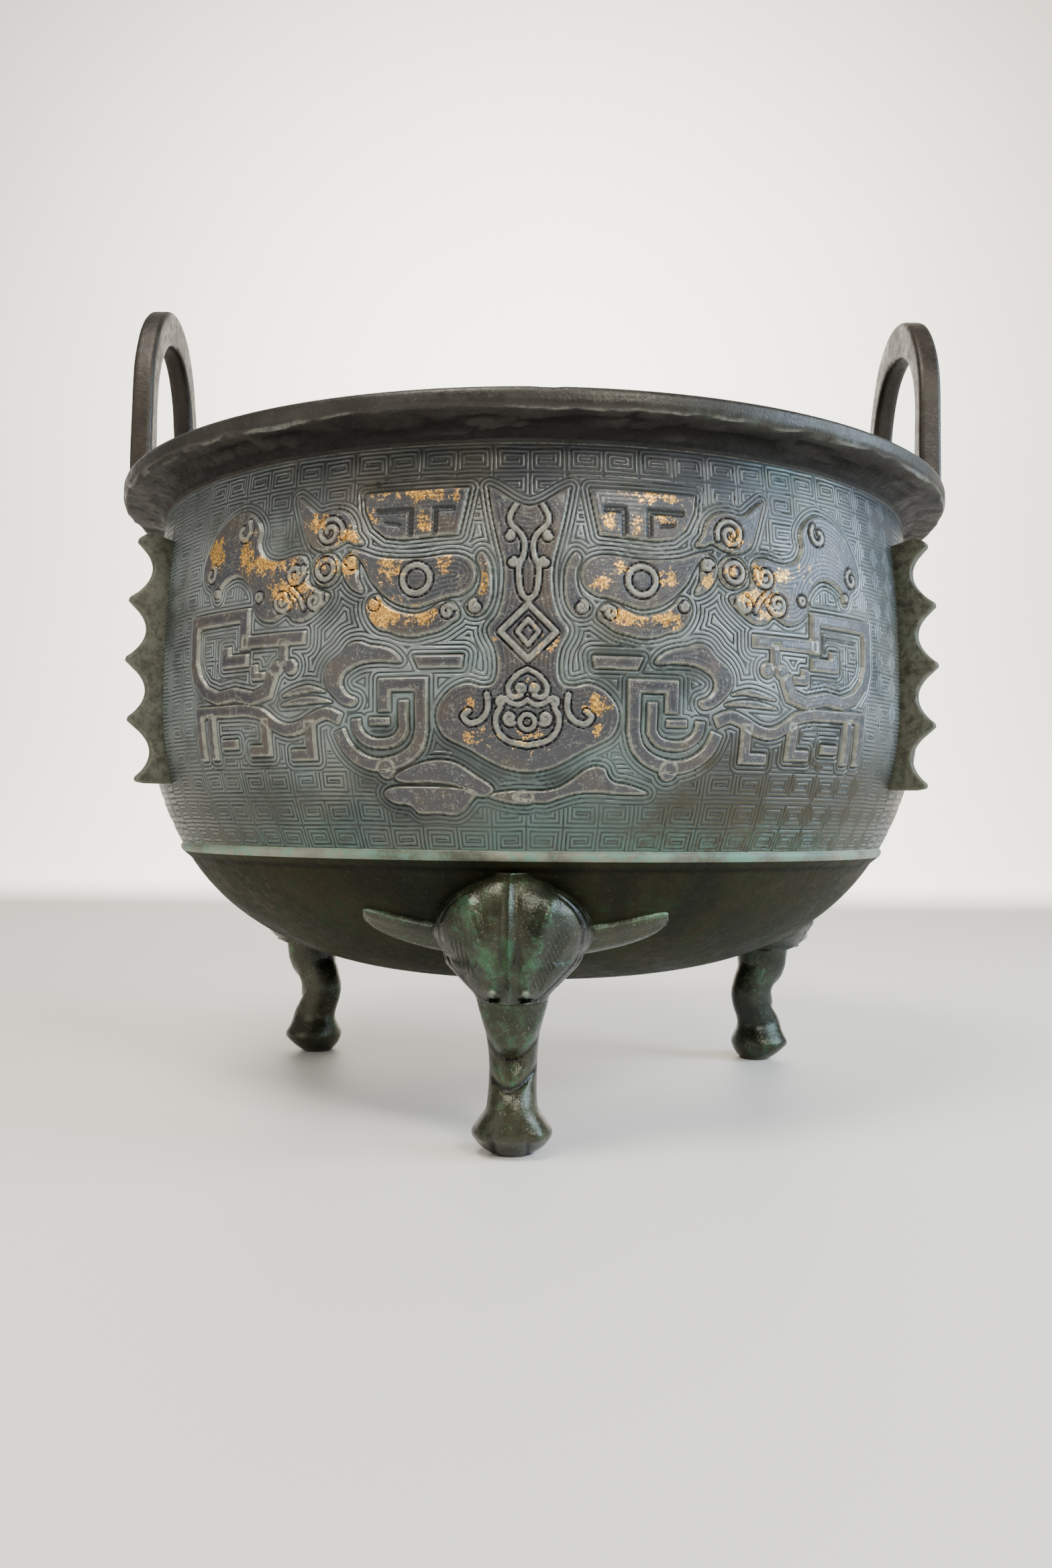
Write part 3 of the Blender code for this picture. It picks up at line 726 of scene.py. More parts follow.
    def _draw(self, total: Array, near: Array, half: float, sunk: bool) -> Array:
        """Adds one line, so that no furrow cuts another line's crest.

        Args:
            total: The lines so far.
            near: Distance from this line.
            half: Half the flat width of its crest or floor.
            sunk: Whether it is sunk.

        Returns:
            The lines with this one.
        """
        if sunk:
            depth = 1.0 - fade(half, half + self.line_soft, near)
            return np.where(depth > 0.0, np.minimum(total, -depth), total)
        crest = 1.0 - fade(half + self.crest_edge[0], half + self.crest_edge[1], near)
        furrow = fade(half + self.furrow_edge[0], half + self.furrow_edge[1], near) * (1.0 - crest)
        beside = np.where(total > 0.0, total, np.minimum(total, -furrow))
        return np.where(crest > 0.02, np.maximum(total, crest), beside)

    def gilt(self, s: Array, z: Array) -> Array:
        """Strength of the gilding over a patch.

        Args:
            s: Place of each column.
            z: Height of each row.

        Returns:
            The strength, from 0 to about 1.4.
        """
        total = np.zeros((len(z), len(s)))
        for patch in self.drawing.gilding():
            across = (s[None, :] - patch.s) / patch.half_width
            up = (z[:, None] - patch.z) / patch.half_height
            total = np.maximum(total, patch.strength * np.exp(-0.9 * (across ** 2 + up ** 2)))
        return total

    def ground(self, phase: Array, near: Array, far: Array, aside: Array, place: Array) -> Array:
        """Heights between the plates, cast and worn unevenly.

        Args:
            phase: Distance that grows by a thread from one thread to the next.
            near: Distance from the plates.
            far: Share of spirals.
            aside: Distance from the mask's middle line.
            place: Places of the points, for the noise.

        Returns:
            The heights.
        """
        ridge = (0.5 - 0.5 * np.cos(2.0 * np.pi * phase / self.thread)) ** 0.7
        ridge *= fade(*self.beside_plate, near) * (1.0 - 0.25 * far)
        ridge *= 1.0 - 0.5 * fade(*self.sheet_end, aside)
        wear = np.clip(0.84 + 0.26 * self.noise.layers(place * 0.045 + 30.0, 3), 0.35, 1.0)
        depth = self.thread_top - self.floor
        return self.floor + depth * ridge * wear + (1.0 - wear) * 0.3 * depth

    def heights(self, s: Array, z: Array) -> dict[str, Array]:
        """Heights and finish of a patch.

        Args:
            s: Rising places across the sheet, one for each column.
            z: Rising heights on the sheet, one for each row.

        Returns:
            Height in millimetres, the shares of plate and line, the gilding, the distance from the
            plates, the share of spiral ground and the place in spiral cells.
        """
        ss, zz = np.meshgrid(s, z)
        place = np.stack([ss, zz, np.full(ss.shape, 3.1)], -1)
        warp_s = self.wander * self.noise.layers(place * self.wander_scale + 4.0, 2)
        warp_z = self.wander * self.noise.layers(place * self.wander_scale + 19.0, 2)
        near, lift = self.distances(s, z)
        plate = 1.0 - fade(*self.bevel, near)
        off = near - self.first_groove + 0.3 * warp_s
        across = (ss + warp_s + 0.5 * SHEET.width) / SHEET.cell_width
        up = (zz + warp_z - SHEET.low) / SHEET.cell_height
        middle = fade(*self.middle_side, np.abs(ss)) * fade(*self.middle_foot, zz)
        middle = middle * fade(*self.middle_top, zz)
        far = fade(*self.spiral_start, near) * (1.0 - middle)
        phase = np.where(far > 0.5, self.spirals(across, up), off)
        ground = self.ground(phase, near, far, np.abs(ss), place)
        lines = self.lines(s, z) * plate
        bumps = 0.05 * self.noise.layers(place * 0.30, 3) + 0.07 * self.noise.at(place * 0.07)
        top = self.plate_top * lift + bumps
        height = ground + (top - ground) * plate
        height = height + self.line_rise * np.maximum(lines, 0.0) + self.line_depth * np.minimum(lines, 0.0)
        edge = fade(SHEET.low, SHEET.low + self.low_border, zz)
        edge = edge * fade(SHEET.high, SHEET.high - self.high_border, zz)
        gilt = self.gilt(s, z) * fade(0.05, 0.7, height)
        return {"height": height * edge, "plate": plate, "line": lines, "gilt": gilt, "off": off,
                "far": far, "across": across, "up": up}


class Nodes:
    """Short hand for the node tree of one material."""

    def __init__(self, name: str) -> None:
        """Makes a material with its Principled shader.

        Args:
            name: The material's name.
        """
        self.material = bpy.data.materials.new(name)
        self.material.use_nodes = True
        self.tree = self.material.node_tree
        self.shader = self.tree.nodes["Principled BSDF"]
        coordinates = self.tree.nodes.new("ShaderNodeTexCoord")
        self.place = coordinates.outputs["Object"]

    def link(self, source: Socket, target: Socket) -> None:
        """Joins two sockets."""
        self.tree.links.new(source, target)

    def _node(self, kind: str, **values: float) -> bpy.types.Node:
        """Adds a node.

        Args:
            kind: Its type.
            values: Values of its inputs, by name, with an underscore for a space.

        Returns:
            The node.
        """
        node = self.tree.nodes.new(f"ShaderNode{kind}")
        for name, value in values.items():
            node.inputs[name.replace("_", " ")].default_value = value
        return node

    def noise(self, scale: float, detail: float, roughness: float = 0.55) -> Socket:
        """Noise on Object coordinates.

        Args:
            scale: Cells for each metre.
            detail: Octaves.
            roughness: Strength of the finer octaves.

        Returns:
            The noise's value.
        """
        node = self._node("TexNoise", Scale=scale, Detail=detail, Roughness=roughness)
        self.link(self.place, node.inputs["Vector"])
        return node.outputs["Fac"]

    def attribute(self, name: str) -> Socket:
        """Value of an attribute of the piece."""
        node = self._node("Attribute")
        node.attribute_name = name
        return node.outputs["Fac"]

    def along(self, axis: str) -> Socket:
        """Place along an axis, in metres: Z is the height above the table."""
        node = self._node("SeparateXYZ")
        self.link(self.place, node.inputs["Vector"])
        return node.outputs[axis]

    def ramp(self, value: Socket, low: float, high: float, bottom: float = 0.0,
             top: float = 1.0) -> Socket:
        """Soft ramp of a value from low to high, clamped.

        Args:
            value: What is ramped.
            low: Value where the ramp starts.
            high: Value where it ends.
            bottom: Result at low.
            top: Result at high.

        Returns:
            The ramped value.
        """
        node = self._node("MapRange", From_Min=low, From_Max=high, To_Min=bottom, To_Max=top)
        node.interpolation_type = 'SMOOTHSTEP'
        self.link(value, node.inputs["Value"])
        return node.outputs["Result"]

    def times(self, a: Socket, b: Socket | float) -> Socket:
        """Product of two values."""
        return self._math('MULTIPLY', a, b)

    def plus(self, a: Socket, b: Socket | float) -> Socket:
        """Sum of two values."""
        return self._math('ADD', a, b)

    def blend(self, a: Socket, share_a: float, b: Socket, share_b: float) -> Socket:
        """Sum of two values, each times its share."""
        return self.plus(self.times(a, share_a), self.times(b, share_b))

    def cosine(self, value: Socket, period: float) -> Socket:
        """Cosine of a value, 1 where the value is a whole number of periods."""
        return self._math('COSINE', self.times(value, 2.0 * math.pi / period), None)

    def swing(self, value: Socket) -> Socket:
        """Value folded to and fro between 0 and 1."""
        return self._math('PINGPONG', value, 1.0)

    def above(self, value: Socket, limit: float) -> Socket:
        """1 where a value is over the limit and 0 elsewhere."""
        return self._math('GREATER_THAN', value, limit)

    def smaller(self, a: Socket, b: Socket) -> Socket:
        """Smaller of two values."""
        return self._math('MINIMUM', a, b)

    def _math(self, operation: str, a: Socket, b: Socket | float | None) -> Socket:
        """One Math node.

        Args:
            operation: What it does.
            a: Its first value.
            b: Its second value, where it has one.

        Returns:
            The result.
        """
        node = self._node("Math")
        node.operation = operation
        self.link(a, node.inputs[0])
        if isinstance(b, float):
            node.inputs[1].default_value = b
        elif b is not None:
            self.link(b, node.inputs[1])
        return node.outputs["Value"]

    def mix(self, share: Socket, first: Colour | Socket, second: Colour | Socket) -> Socket:
        """Mix of two colours.

        Args:
            share: How much of the second colour shows.
            first: Colour, or a socket that gives one.
            second: Colour, or a socket that gives one.

        Returns:
            The mixed colour.
        """
        node = self._node("Mix")
        node.data_type = 'RGBA'
        self.link(share, node.inputs[0])
        for socket, colour in ((node.inputs[6], first), (node.inputs[7], second)):
            if isinstance(colour, tuple):
                socket.default_value = (*colour, 1.0)
            else:
                self.link(colour, socket)
        return node.outputs[2]

    def bump(self, height: Socket, depth: float, strength: float = 1.0,
             under: Socket | None = None) -> Socket:
        """Bump from a height.

        Args:
            height: Height from 0 to 1.
            depth: What 1 stands for, in metres.
            strength: How much of it shows.
            under: Normal that the bump is laid on.

        Returns:
            The new normal.
        """
        node = self._node("Bump", Distance=depth, Strength=strength)
        self.link(height, node.inputs["Height"])
        if under is not None:
            self.link(under, node.inputs["Normal"])
        return node.outputs["Normal"]


class GrainedNodes(Nodes):
    """Nodes with the four noises that a patina mixes, from broad stains to specks."""

    def __init__(self, name: str, *kinds: tuple[float, float, float]) -> None:
        """Makes the material and its noises, from the scale, octaves and roughness of each."""
        super().__init__(name)
        self.broad, self.medium, self.fine, self.specks = (self.noise(*kind) for kind in kinds)


class Zone(Enum):
    """Where on the casting a finish is used."""

    RIM = "rim"
    UNDER_RIM = "under_rim"
    INSIDE = "inside"
    UNDERBODY = "underbody"
    BAND = "band"
    HANDLE = "handle"
    FLANGE = "flange"
    LEG = "leg"


@dataclass(frozen=True)
class Patina:
    """Old bronze on one zone: its colours, how green and how rough it is, and its relief in metres."""

    zone: Zone
    metal: Colour
    film: Colour
    dust_wear_and_highlight: Colour
    verdigris: Colour
    green: float
    polish: float
    metallic: float = 0.5
    grain: float = 0.00012
    shine: float = 0.5

    def build(self) -> bpy.types.Material:
        """Makes the material for this zone, which reads how sharp the edges and hollows are.

        Returns:
            The material.
        """
        nodes = GrainedNodes(f"bronze_{self.zone.value}", (16.0, 5.0, 0.6), (70.0, 6.0, 0.65),
                             (420.0, 5.0, 0.7), (1500.0, 3.0, 0.6))
        nodes.link(self.colour(nodes), nodes.shader.inputs["Base Color"])
        rough = nodes.ramp(nodes.blend(nodes.medium, 0.5, nodes.fine, 0.5), 0.3, 0.7,
                           self.polish - 0.10, self.polish + 0.20)
        nodes.link(rough, nodes.shader.inputs["Roughness"])
        nodes.shader.inputs["Metallic"].default_value = self.metallic
        nodes.shader.inputs["Specular IOR Level"].default_value = self.shine
        normal = nodes.bump(nodes.blend(nodes.fine, 0.7, nodes.specks, 0.3), self.grain * 4.0, 0.55)
        normal = nodes.bump(nodes.medium, self.grain * 6.0, 0.35, normal)
        nodes.link(normal, nodes.shader.inputs["Normal"])
        return nodes.material

    def colour(self, nodes: GrainedNodes) -> Socket:
        """Metal under a film, with verdigris and dust, painted shade in the hollows, and pale edges that
        are wear on the flanges and painted highlights on the legs.

        Args:
            nodes: The material's nodes.

        Returns:
            The colour.
        """
        cavity = nodes.attribute("cavity")
        film = nodes.ramp(nodes.blend(nodes.broad, 0.6, nodes.medium, 0.4), 0.38, 0.66)
        colour = nodes.mix(film, self.metal, self.film)
        # Verdigris gathers on convex places: partly patina, partly a painted highlight on the legs'
        # carving.
        green = nodes.plus(nodes.times(nodes.medium, 0.55), nodes.blend(nodes.fine, 0.45, cavity, 0.045))
        green = nodes.ramp(green, 0.60 - 0.22 * self.green, 0.74 - 0.16 * self.green,
                           0.0, 0.35 + 0.55 * self.green)
        colour = nodes.mix(green, colour, self.verdigris)
        colour = nodes.mix(nodes.ramp(nodes.specks, 0.60, 0.78, 0.0, 0.45), colour, self.dust_wear_and_highlight)
        # Painted shade: hollows and carved valleys turn darker.
        dark = tuple(0.35 * part for part in self.metal)
        colour = nodes.mix(nodes.ramp(cavity, -0.1, -0.9, 0.0, 0.9), colour, dark)
        # Pale edges: wear on the flanges, a painted highlight on the legs' most raised carving and the
        # ears' upper edges.
        wear_and_highlight = nodes.times(nodes.ramp(cavity, 1.5, 2.4), nodes.ramp(nodes.fine, 0.32, 0.62, 0.2, 0.85))
        return nodes.mix(wear_and_highlight, colour, self.dust_wear_and_highlight)


@dataclass(frozen=True)
class WallPatina:
    """Finish of the relief: dark plates, pale threads, dark grooves and worn gilding, with a painted shadow
    of the rim on the wall's top and painted highlights along the plates' edges.
    """

    plate: Colour = (0.044, 0.046, 0.052)
    plate_warm: Colour = (0.068, 0.056, 0.046)
    thread: Colour = (0.205, 0.230, 0.230)
    # Threads at the top of the wall: the rim's painted shadow.
    thread_top: Colour = (0.050, 0.053, 0.058)
    thread_low: Colour = (0.060, 0.076, 0.066)
    groove: Colour = (0.012, 0.014, 0.013)
    # Pale colour of specks, line crests and worn plate edges; on the plate edges it is partly a painted
    # highlight.
    edge: Colour = (0.270, 0.270, 0.215)
    sea_green: Colour = (0.060, 0.150, 0.120)
    olive: Colour = (0.040, 0.034, 0.016)
    smear: Colour = (0.030, 0.040, 0.038)
    teal: Colour = (0.100, 0.205, 0.200)
    tan: Colour = (0.170, 0.145, 0.090)
    gilt: Colour = (0.88, 0.50, 0.12)
    gilt_dull: Colour = (0.34, 0.18, 0.05)

    def build(self, thread: float, name: str) -> bpy.types.Material:
        """Makes the material, which reads the relief's attributes.

        Args:
            thread: Distance from one thread to the next, in millimetres.
            name: The material's name.

        Returns:
            The material.
        """
        nodes = GrainedNodes(name, (14.0, 4.0, 0.55), (80.0, 6.0, 0.65), (500.0, 5.0, 0.7),
                             (1700.0, 3.0, 0.6))
        plate, line, off = (nodes.attribute(key) for key in ("plate", "line", "off"))
        shade = self.shade(nodes)
        cut = self.cut(nodes, off, thread)
        colour = nodes.mix(cut, self.ground(nodes, shade), self.groove)
        metal = nodes.mix(nodes.ramp(nodes.medium, 0.44, 0.66), self.plate, self.plate_warm)
        spotted = nodes.ramp(nodes.plus(nodes.fine, nodes.specks), 1.02, 1.30, 0.0, 0.5)
        metal = nodes.mix(spotted, metal, self.edge)
        colour = nodes.mix(nodes.ramp(plate, 0.55, 0.85), colour, metal)
        # Pale plate edges: partly wear, partly a painted highlight, dimmed inside the rim's painted shadow.
        wear_and_highlight = nodes.times(nodes.ramp(off, -0.95, -0.70), nodes.ramp(off, -0.10, -0.35))
        wear_and_highlight = nodes.times(wear_and_highlight, nodes.ramp(nodes.fine, 0.30, 0.62, 0.20, 0.80))
        wear_and_highlight = nodes.times(wear_and_highlight, nodes.ramp(shade, 0.0, 1.0, 1.0, 0.4))
        colour = nodes.mix(wear_and_highlight, colour, self.edge)
        colour = nodes.mix(nodes.ramp(line, -0.15, -0.75, 0.0, 0.9), colour, self.groove)
        crest = nodes.times(nodes.ramp(line, 0.35, 0.95), nodes.ramp(nodes.fine, 0.28, 0.60, 0.25, 0.70))
        colour = nodes.mix(crest, colour, self.edge)
        leaf = self.leaf(nodes)
        gold = nodes.mix(nodes.ramp(nodes.specks, 0.42, 0.62), self.gilt_dull, self.gilt)
        nodes.link(nodes.mix(leaf, colour, gold), nodes.shader.inputs["Base Color"])
        rough = nodes.ramp(nodes.blend(nodes.medium, 0.4, cut, 0.6), 0.15, 0.9, 0.33, 0.66)
        nodes.link(rough, nodes.shader.inputs["Roughness"])
        metallic = nodes.ramp(nodes.plus(nodes.times(cut, -0.6), leaf), -0.6, 1.0, 0.15, 0.90)
        nodes.link(metallic, nodes.shader.inputs["Metallic"])
        normal = nodes.bump(nodes.blend(nodes.fine, 0.6, nodes.specks, 0.4), 0.0003, 0.5)
        nodes.link(normal, nodes.shader.inputs["Normal"])
        return nodes.material

    @staticmethod
    def shade(nodes: GrainedNodes) -> Socket:
        """Share of the painted shadow that the rim casts on the top of the wall, which fades to the left.

        Args:
            nodes: The material's nodes.

        Returns:
            The share of painted shadow, from 0 to 1.
        """
        top = nodes.ramp(nodes.plus(nodes.along("Z"), nodes.times(nodes.broad, 0.018)), 0.172, 0.190)
        aside = nodes.plus(nodes.along("X"), nodes.times(nodes.broad, 0.05))
        return nodes.times(top, nodes.ramp(aside, -0.075, -0.010, 0.35, 1.0))

    def cut(self, nodes: GrainedNodes, off: Socket, thread: float) -> Socket:
        """Where the dark grooves between the threads show, worn here and there.

        Args:
            nodes: The material's nodes.
            off: Distance from the plates, in millimetres.
            thread: Distance from one thread to the next, in millimetres.

        Returns:
            The share of groove.
        """
        away = nodes.plus(self.spiral(nodes, thread), nodes.times(off, -1.0))
        far = nodes.ramp(nodes.attribute("far"), 0.49, 0.51)
        wave = nodes.cosine(nodes.plus(off, nodes.times(far, away)), thread)
        worn = nodes.ramp(nodes.plus(nodes.medium, nodes.times(nodes.broad, 0.6)), 0.60, 1.05, 1.0, 0.35)
        aside = nodes.along("X")
        ends = nodes.ramp(nodes.times(aside, aside), 0.0115, 0.0158, 1.0, 0.35)
        return nodes.times(nodes.times(nodes.ramp(wave, -0.05, 0.65), worn), ends)

    def ground(self, nodes: GrainedNodes, shade: Socket) -> Socket:
        """Colour of the threads: pale, browner below on the right, green at the foot, and dark in the rim's
        painted shadow.

        Args:
            nodes: The material's nodes.
            shade: Share of the rim's painted shadow.

        Returns:
            The colour.
        """
        height = nodes.along("Z")
        low = nodes.ramp(nodes.plus(height, nodes.times(nodes.broad, 0.030)), 0.140, 0.105)
        ground = nodes.mix(nodes.times(low, 0.9), self.thread, self.thread_low)
        # Painted shadow of the rim darkens the threads at the top of the wall.
        ground = nodes.mix(shade, ground, self.thread_top)
        for noise, start, end, most, stain in (((13.0, 4.0, 0.6), 0.47, 0.64, 0.40, self.teal),
                                               ((23.0, 4.0, 0.6), 0.50, 0.66, 0.40, self.tan),
                                               ((34.0, 5.0, 0.65), 0.44, 0.66, 0.80, self.smear)):
            ground = nodes.mix(nodes.ramp(nodes.noise(*noise), start, end, 0.0, most), ground, stain)
        aside = nodes.plus(nodes.along("X"), nodes.times(nodes.broad, 0.05))
        brown = nodes.times(low, nodes.ramp(aside, 0.030, 0.085, 0.0, 1.0))
        brown = nodes.plus(brown, nodes.ramp(nodes.medium, 0.44, 0.72, 0.0, 0.45))
        ground = nodes.mix(brown, ground, self.olive)
        foot = nodes.ramp(nodes.plus(height, nodes.times(nodes.medium, 0.016)), 0.106, 0.090)
        patch = nodes.ramp(nodes.blend(nodes.broad, 0.5, nodes.fine, 0.5), 0.44, 0.60)
        return nodes.mix(nodes.times(foot, nodes.times(patch, 0.6)), ground, self.sea_green)

    @staticmethod
    def leaf(nodes: GrainedNodes) -> Socket:
        """Where the gilding is left.

        Args:
            nodes: The material's nodes.

        Returns:
            The share of gold.
        """
        gilt = nodes.attribute("gilt")
        cover = nodes.plus(nodes.times(gilt, 0.34), nodes.blend(nodes.medium, 0.42, nodes.fine, 1.00))
        leaf = nodes.ramp(nodes.plus(cover, nodes.times(nodes.specks, 0.40)), 1.15, 1.25)
        return nodes.times(leaf, nodes.ramp(gilt, 0.05, 0.30))

    @staticmethod
    def spiral(nodes: Nodes, thread: float) -> Socket:
        """The same distance to the spirals' grooves as the relief is shaped with.

        Args:
            nodes: The material's nodes.
            thread: Distance from one thread to the next, in millimetres.

        Returns:
            The distance, in millimetres.
        """
        u = nodes.times(nodes.swing(nodes.attribute("across")), SHEET.cell_width)
        v = nodes.times(nodes.swing(nodes.attribute("up")), SHEET.cell_height)
        left = nodes.plus(v, nodes.times(u, -1.0))
        corner = nodes.plus(v, nodes.times(nodes.above(left, thread), nodes.times(left, -1.0)))
        right = nodes.plus(nodes.times(u, -1.0), SHEET.cell_width)
        upper = nodes.plus(nodes.times(v, -1.0), SHEET.cell_height)
        return nodes.smaller(corner, nodes.smaller(right, upper))


METALS = {finish.zone: finish for finish in (
    Patina(Zone.RIM, (0.018, 0.016, 0.012), (0.040, 0.037, 0.029), (0.14, 0.14, 0.12),
           (0.07, 0.10, 0.09), 0.10, 0.36),
    Patina(Zone.UNDER_RIM, (0.014, 0.013, 0.012), (0.040, 0.037, 0.031), (0.13, 0.13, 0.11),
           (0.05, 0.07, 0.06), 0.15, 0.60, metallic=0.2, grain=0.0003, shine=0.25),
    Patina(Zone.INSIDE, (0.040, 0.036, 0.030), (0.070, 0.066, 0.055), (0.17, 0.16, 0.13),
           (0.06, 0.10, 0.08), 0.30, 0.58),
    # Underbody: its own dark green patina, darkened further as painted shade of its downward-facing side.
    Patina(Zone.UNDERBODY, (0.004, 0.006, 0.003), (0.022, 0.019, 0.007), (0.08, 0.09, 0.05),
           (0.010, 0.034, 0.018), 0.45, 0.55, metallic=0.0, shine=0.08),
    Patina(Zone.BAND, (0.045, 0.050, 0.034), (0.29, 0.28, 0.21), (0.34, 0.34, 0.26),
           (0.07, 0.24, 0.18), 0.60, 0.50, metallic=0.2),
    Patina(Zone.HANDLE, (0.012, 0.009, 0.006), (0.030, 0.022, 0.014), (0.12, 0.10, 0.08),
           (0.05, 0.07, 0.05), 0.05, 0.38, metallic=0.4),
    # Flanges: their own dark patina, made darker still as painted shade.
    Patina(Zone.FLANGE, (0.006, 0.007, 0.004), (0.020, 0.018, 0.010), (0.11, 0.11, 0.08),
           (0.02, 0.05, 0.035), 0.30, 0.46, metallic=0.1, shine=0.3),
    Patina(Zone.LEG, (0.006, 0.010, 0.005), (0.050, 0.047, 0.024), (0.30, 0.34, 0.27),
           (0.036, 0.128, 0.060), 0.44, 0.18, metallic=0.45, grain=0.00013),
)}


class Bench:
    """Small helpers for modelling with operators."""

    @staticmethod
    def clear() -> None:
        """Deselects everything."""
        for obj in bpy.data.objects:
            obj.select_set(False)

    @staticmethod
    def pick(obj: Piece) -> None:
        """Makes an object the only selected and the active one.

        Args:
            obj: The object.
        """
        Bench.clear()
        obj.select_set(True)
        bpy.context.view_layer.objects.active = obj

    @staticmethod
    def extrude(x: float, y: float, z: float) -> None:
        """Extrudes what is selected and moves it."""
        bpy.ops.mesh.extrude_region_move(TRANSFORM_OT_translate={"value": (x, y, z)})

    @staticmethod
    def leave_edit() -> None:
        """Turns all faces outwards and leaves edit mode."""
        bpy.ops.mesh.select_all(action='SELECT')
        bpy.ops.mesh.normals_make_consistent(inside=False)
        bpy.ops.object.mode_set(mode='OBJECT')

    @staticmethod
    def apply(obj: Piece, kind: str, **settings: object) -> None:
        """Adds a modifier and applies it.

        Args:
            obj: The piece.
            kind: The modifier's type.
            settings: Its settings.
        """
        modifier = obj.modifiers.new(kind.title(), kind)
        for name, value in settings.items():
            setattr(modifier, name, value)
        Bench.pick(obj)
        bpy.ops.object.modifier_apply(modifier=modifier.name)

    @staticmethod
    def settle(obj: Piece) -> None:
        """Moves a piece's place and turn into its mesh."""
        obj.data.transform(obj.matrix_world)
        obj.matrix_world = Matrix.Identity(4)

    @staticmethod
    def points(obj: Piece) -> Array:
        """Reads the mesh's points.

        Args:
            obj: The piece.

        Returns:
            One row for each point.
        """
        flat = np.empty(len(obj.data.vertices) * 3, np.float32)
        obj.data.vertices.foreach_get("co", flat)
        return flat.reshape(-1, 3).astype(float)

    @staticmethod
    def move(obj: Piece, points: Array) -> None:
        """Writes moved points back to the mesh."""
        obj.data.vertices.foreach_set("co", points.astype(np.float32).ravel())
        obj.data.update()

    @staticmethod
    def mark_sharpness(obj: Piece, full: float = 11.0) -> None:
        """Marks how sharp the piece is at each point: the finish pales the convex edges as wear and darkens
        the hollows as painted shade.

        Args:
            obj: The piece.
            full: Angle at a convex edge that counts as 1, in degrees.
        """
        bm = bmesh.new()
        bm.from_mesh(obj.data)
        layer = bm.verts.layers.float.new("cavity")
        for vert in bm.verts:
            angles = [math.degrees(edge.calc_face_angle_signed(0.0)) for edge in vert.link_edges]
            vert[layer] = max(angles) / full if max(angles) > -min(angles) else min(angles) / full
        bm.to_mesh(obj.data)
        bm.free()

    @staticmethod
    def finish(obj: Piece, name: str, angle: float) -> Piece:
        """Names a piece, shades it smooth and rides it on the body.

        Args:
            obj: The piece.
            name: Its name.
            angle: Edges sharper than this stay sharp, in degrees.

        Returns:
            The piece.
        """
        obj.name = name
        obj.data.name = name
        Bench.pick(obj)
        bpy.ops.object.shade_smooth_by_angle(angle=math.radians(angle))
        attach(obj, BODY)
        log.info("%s: %d triangles", name, sum(len(p.vertices) - 2 for p in obj.data.polygons))
        return obj


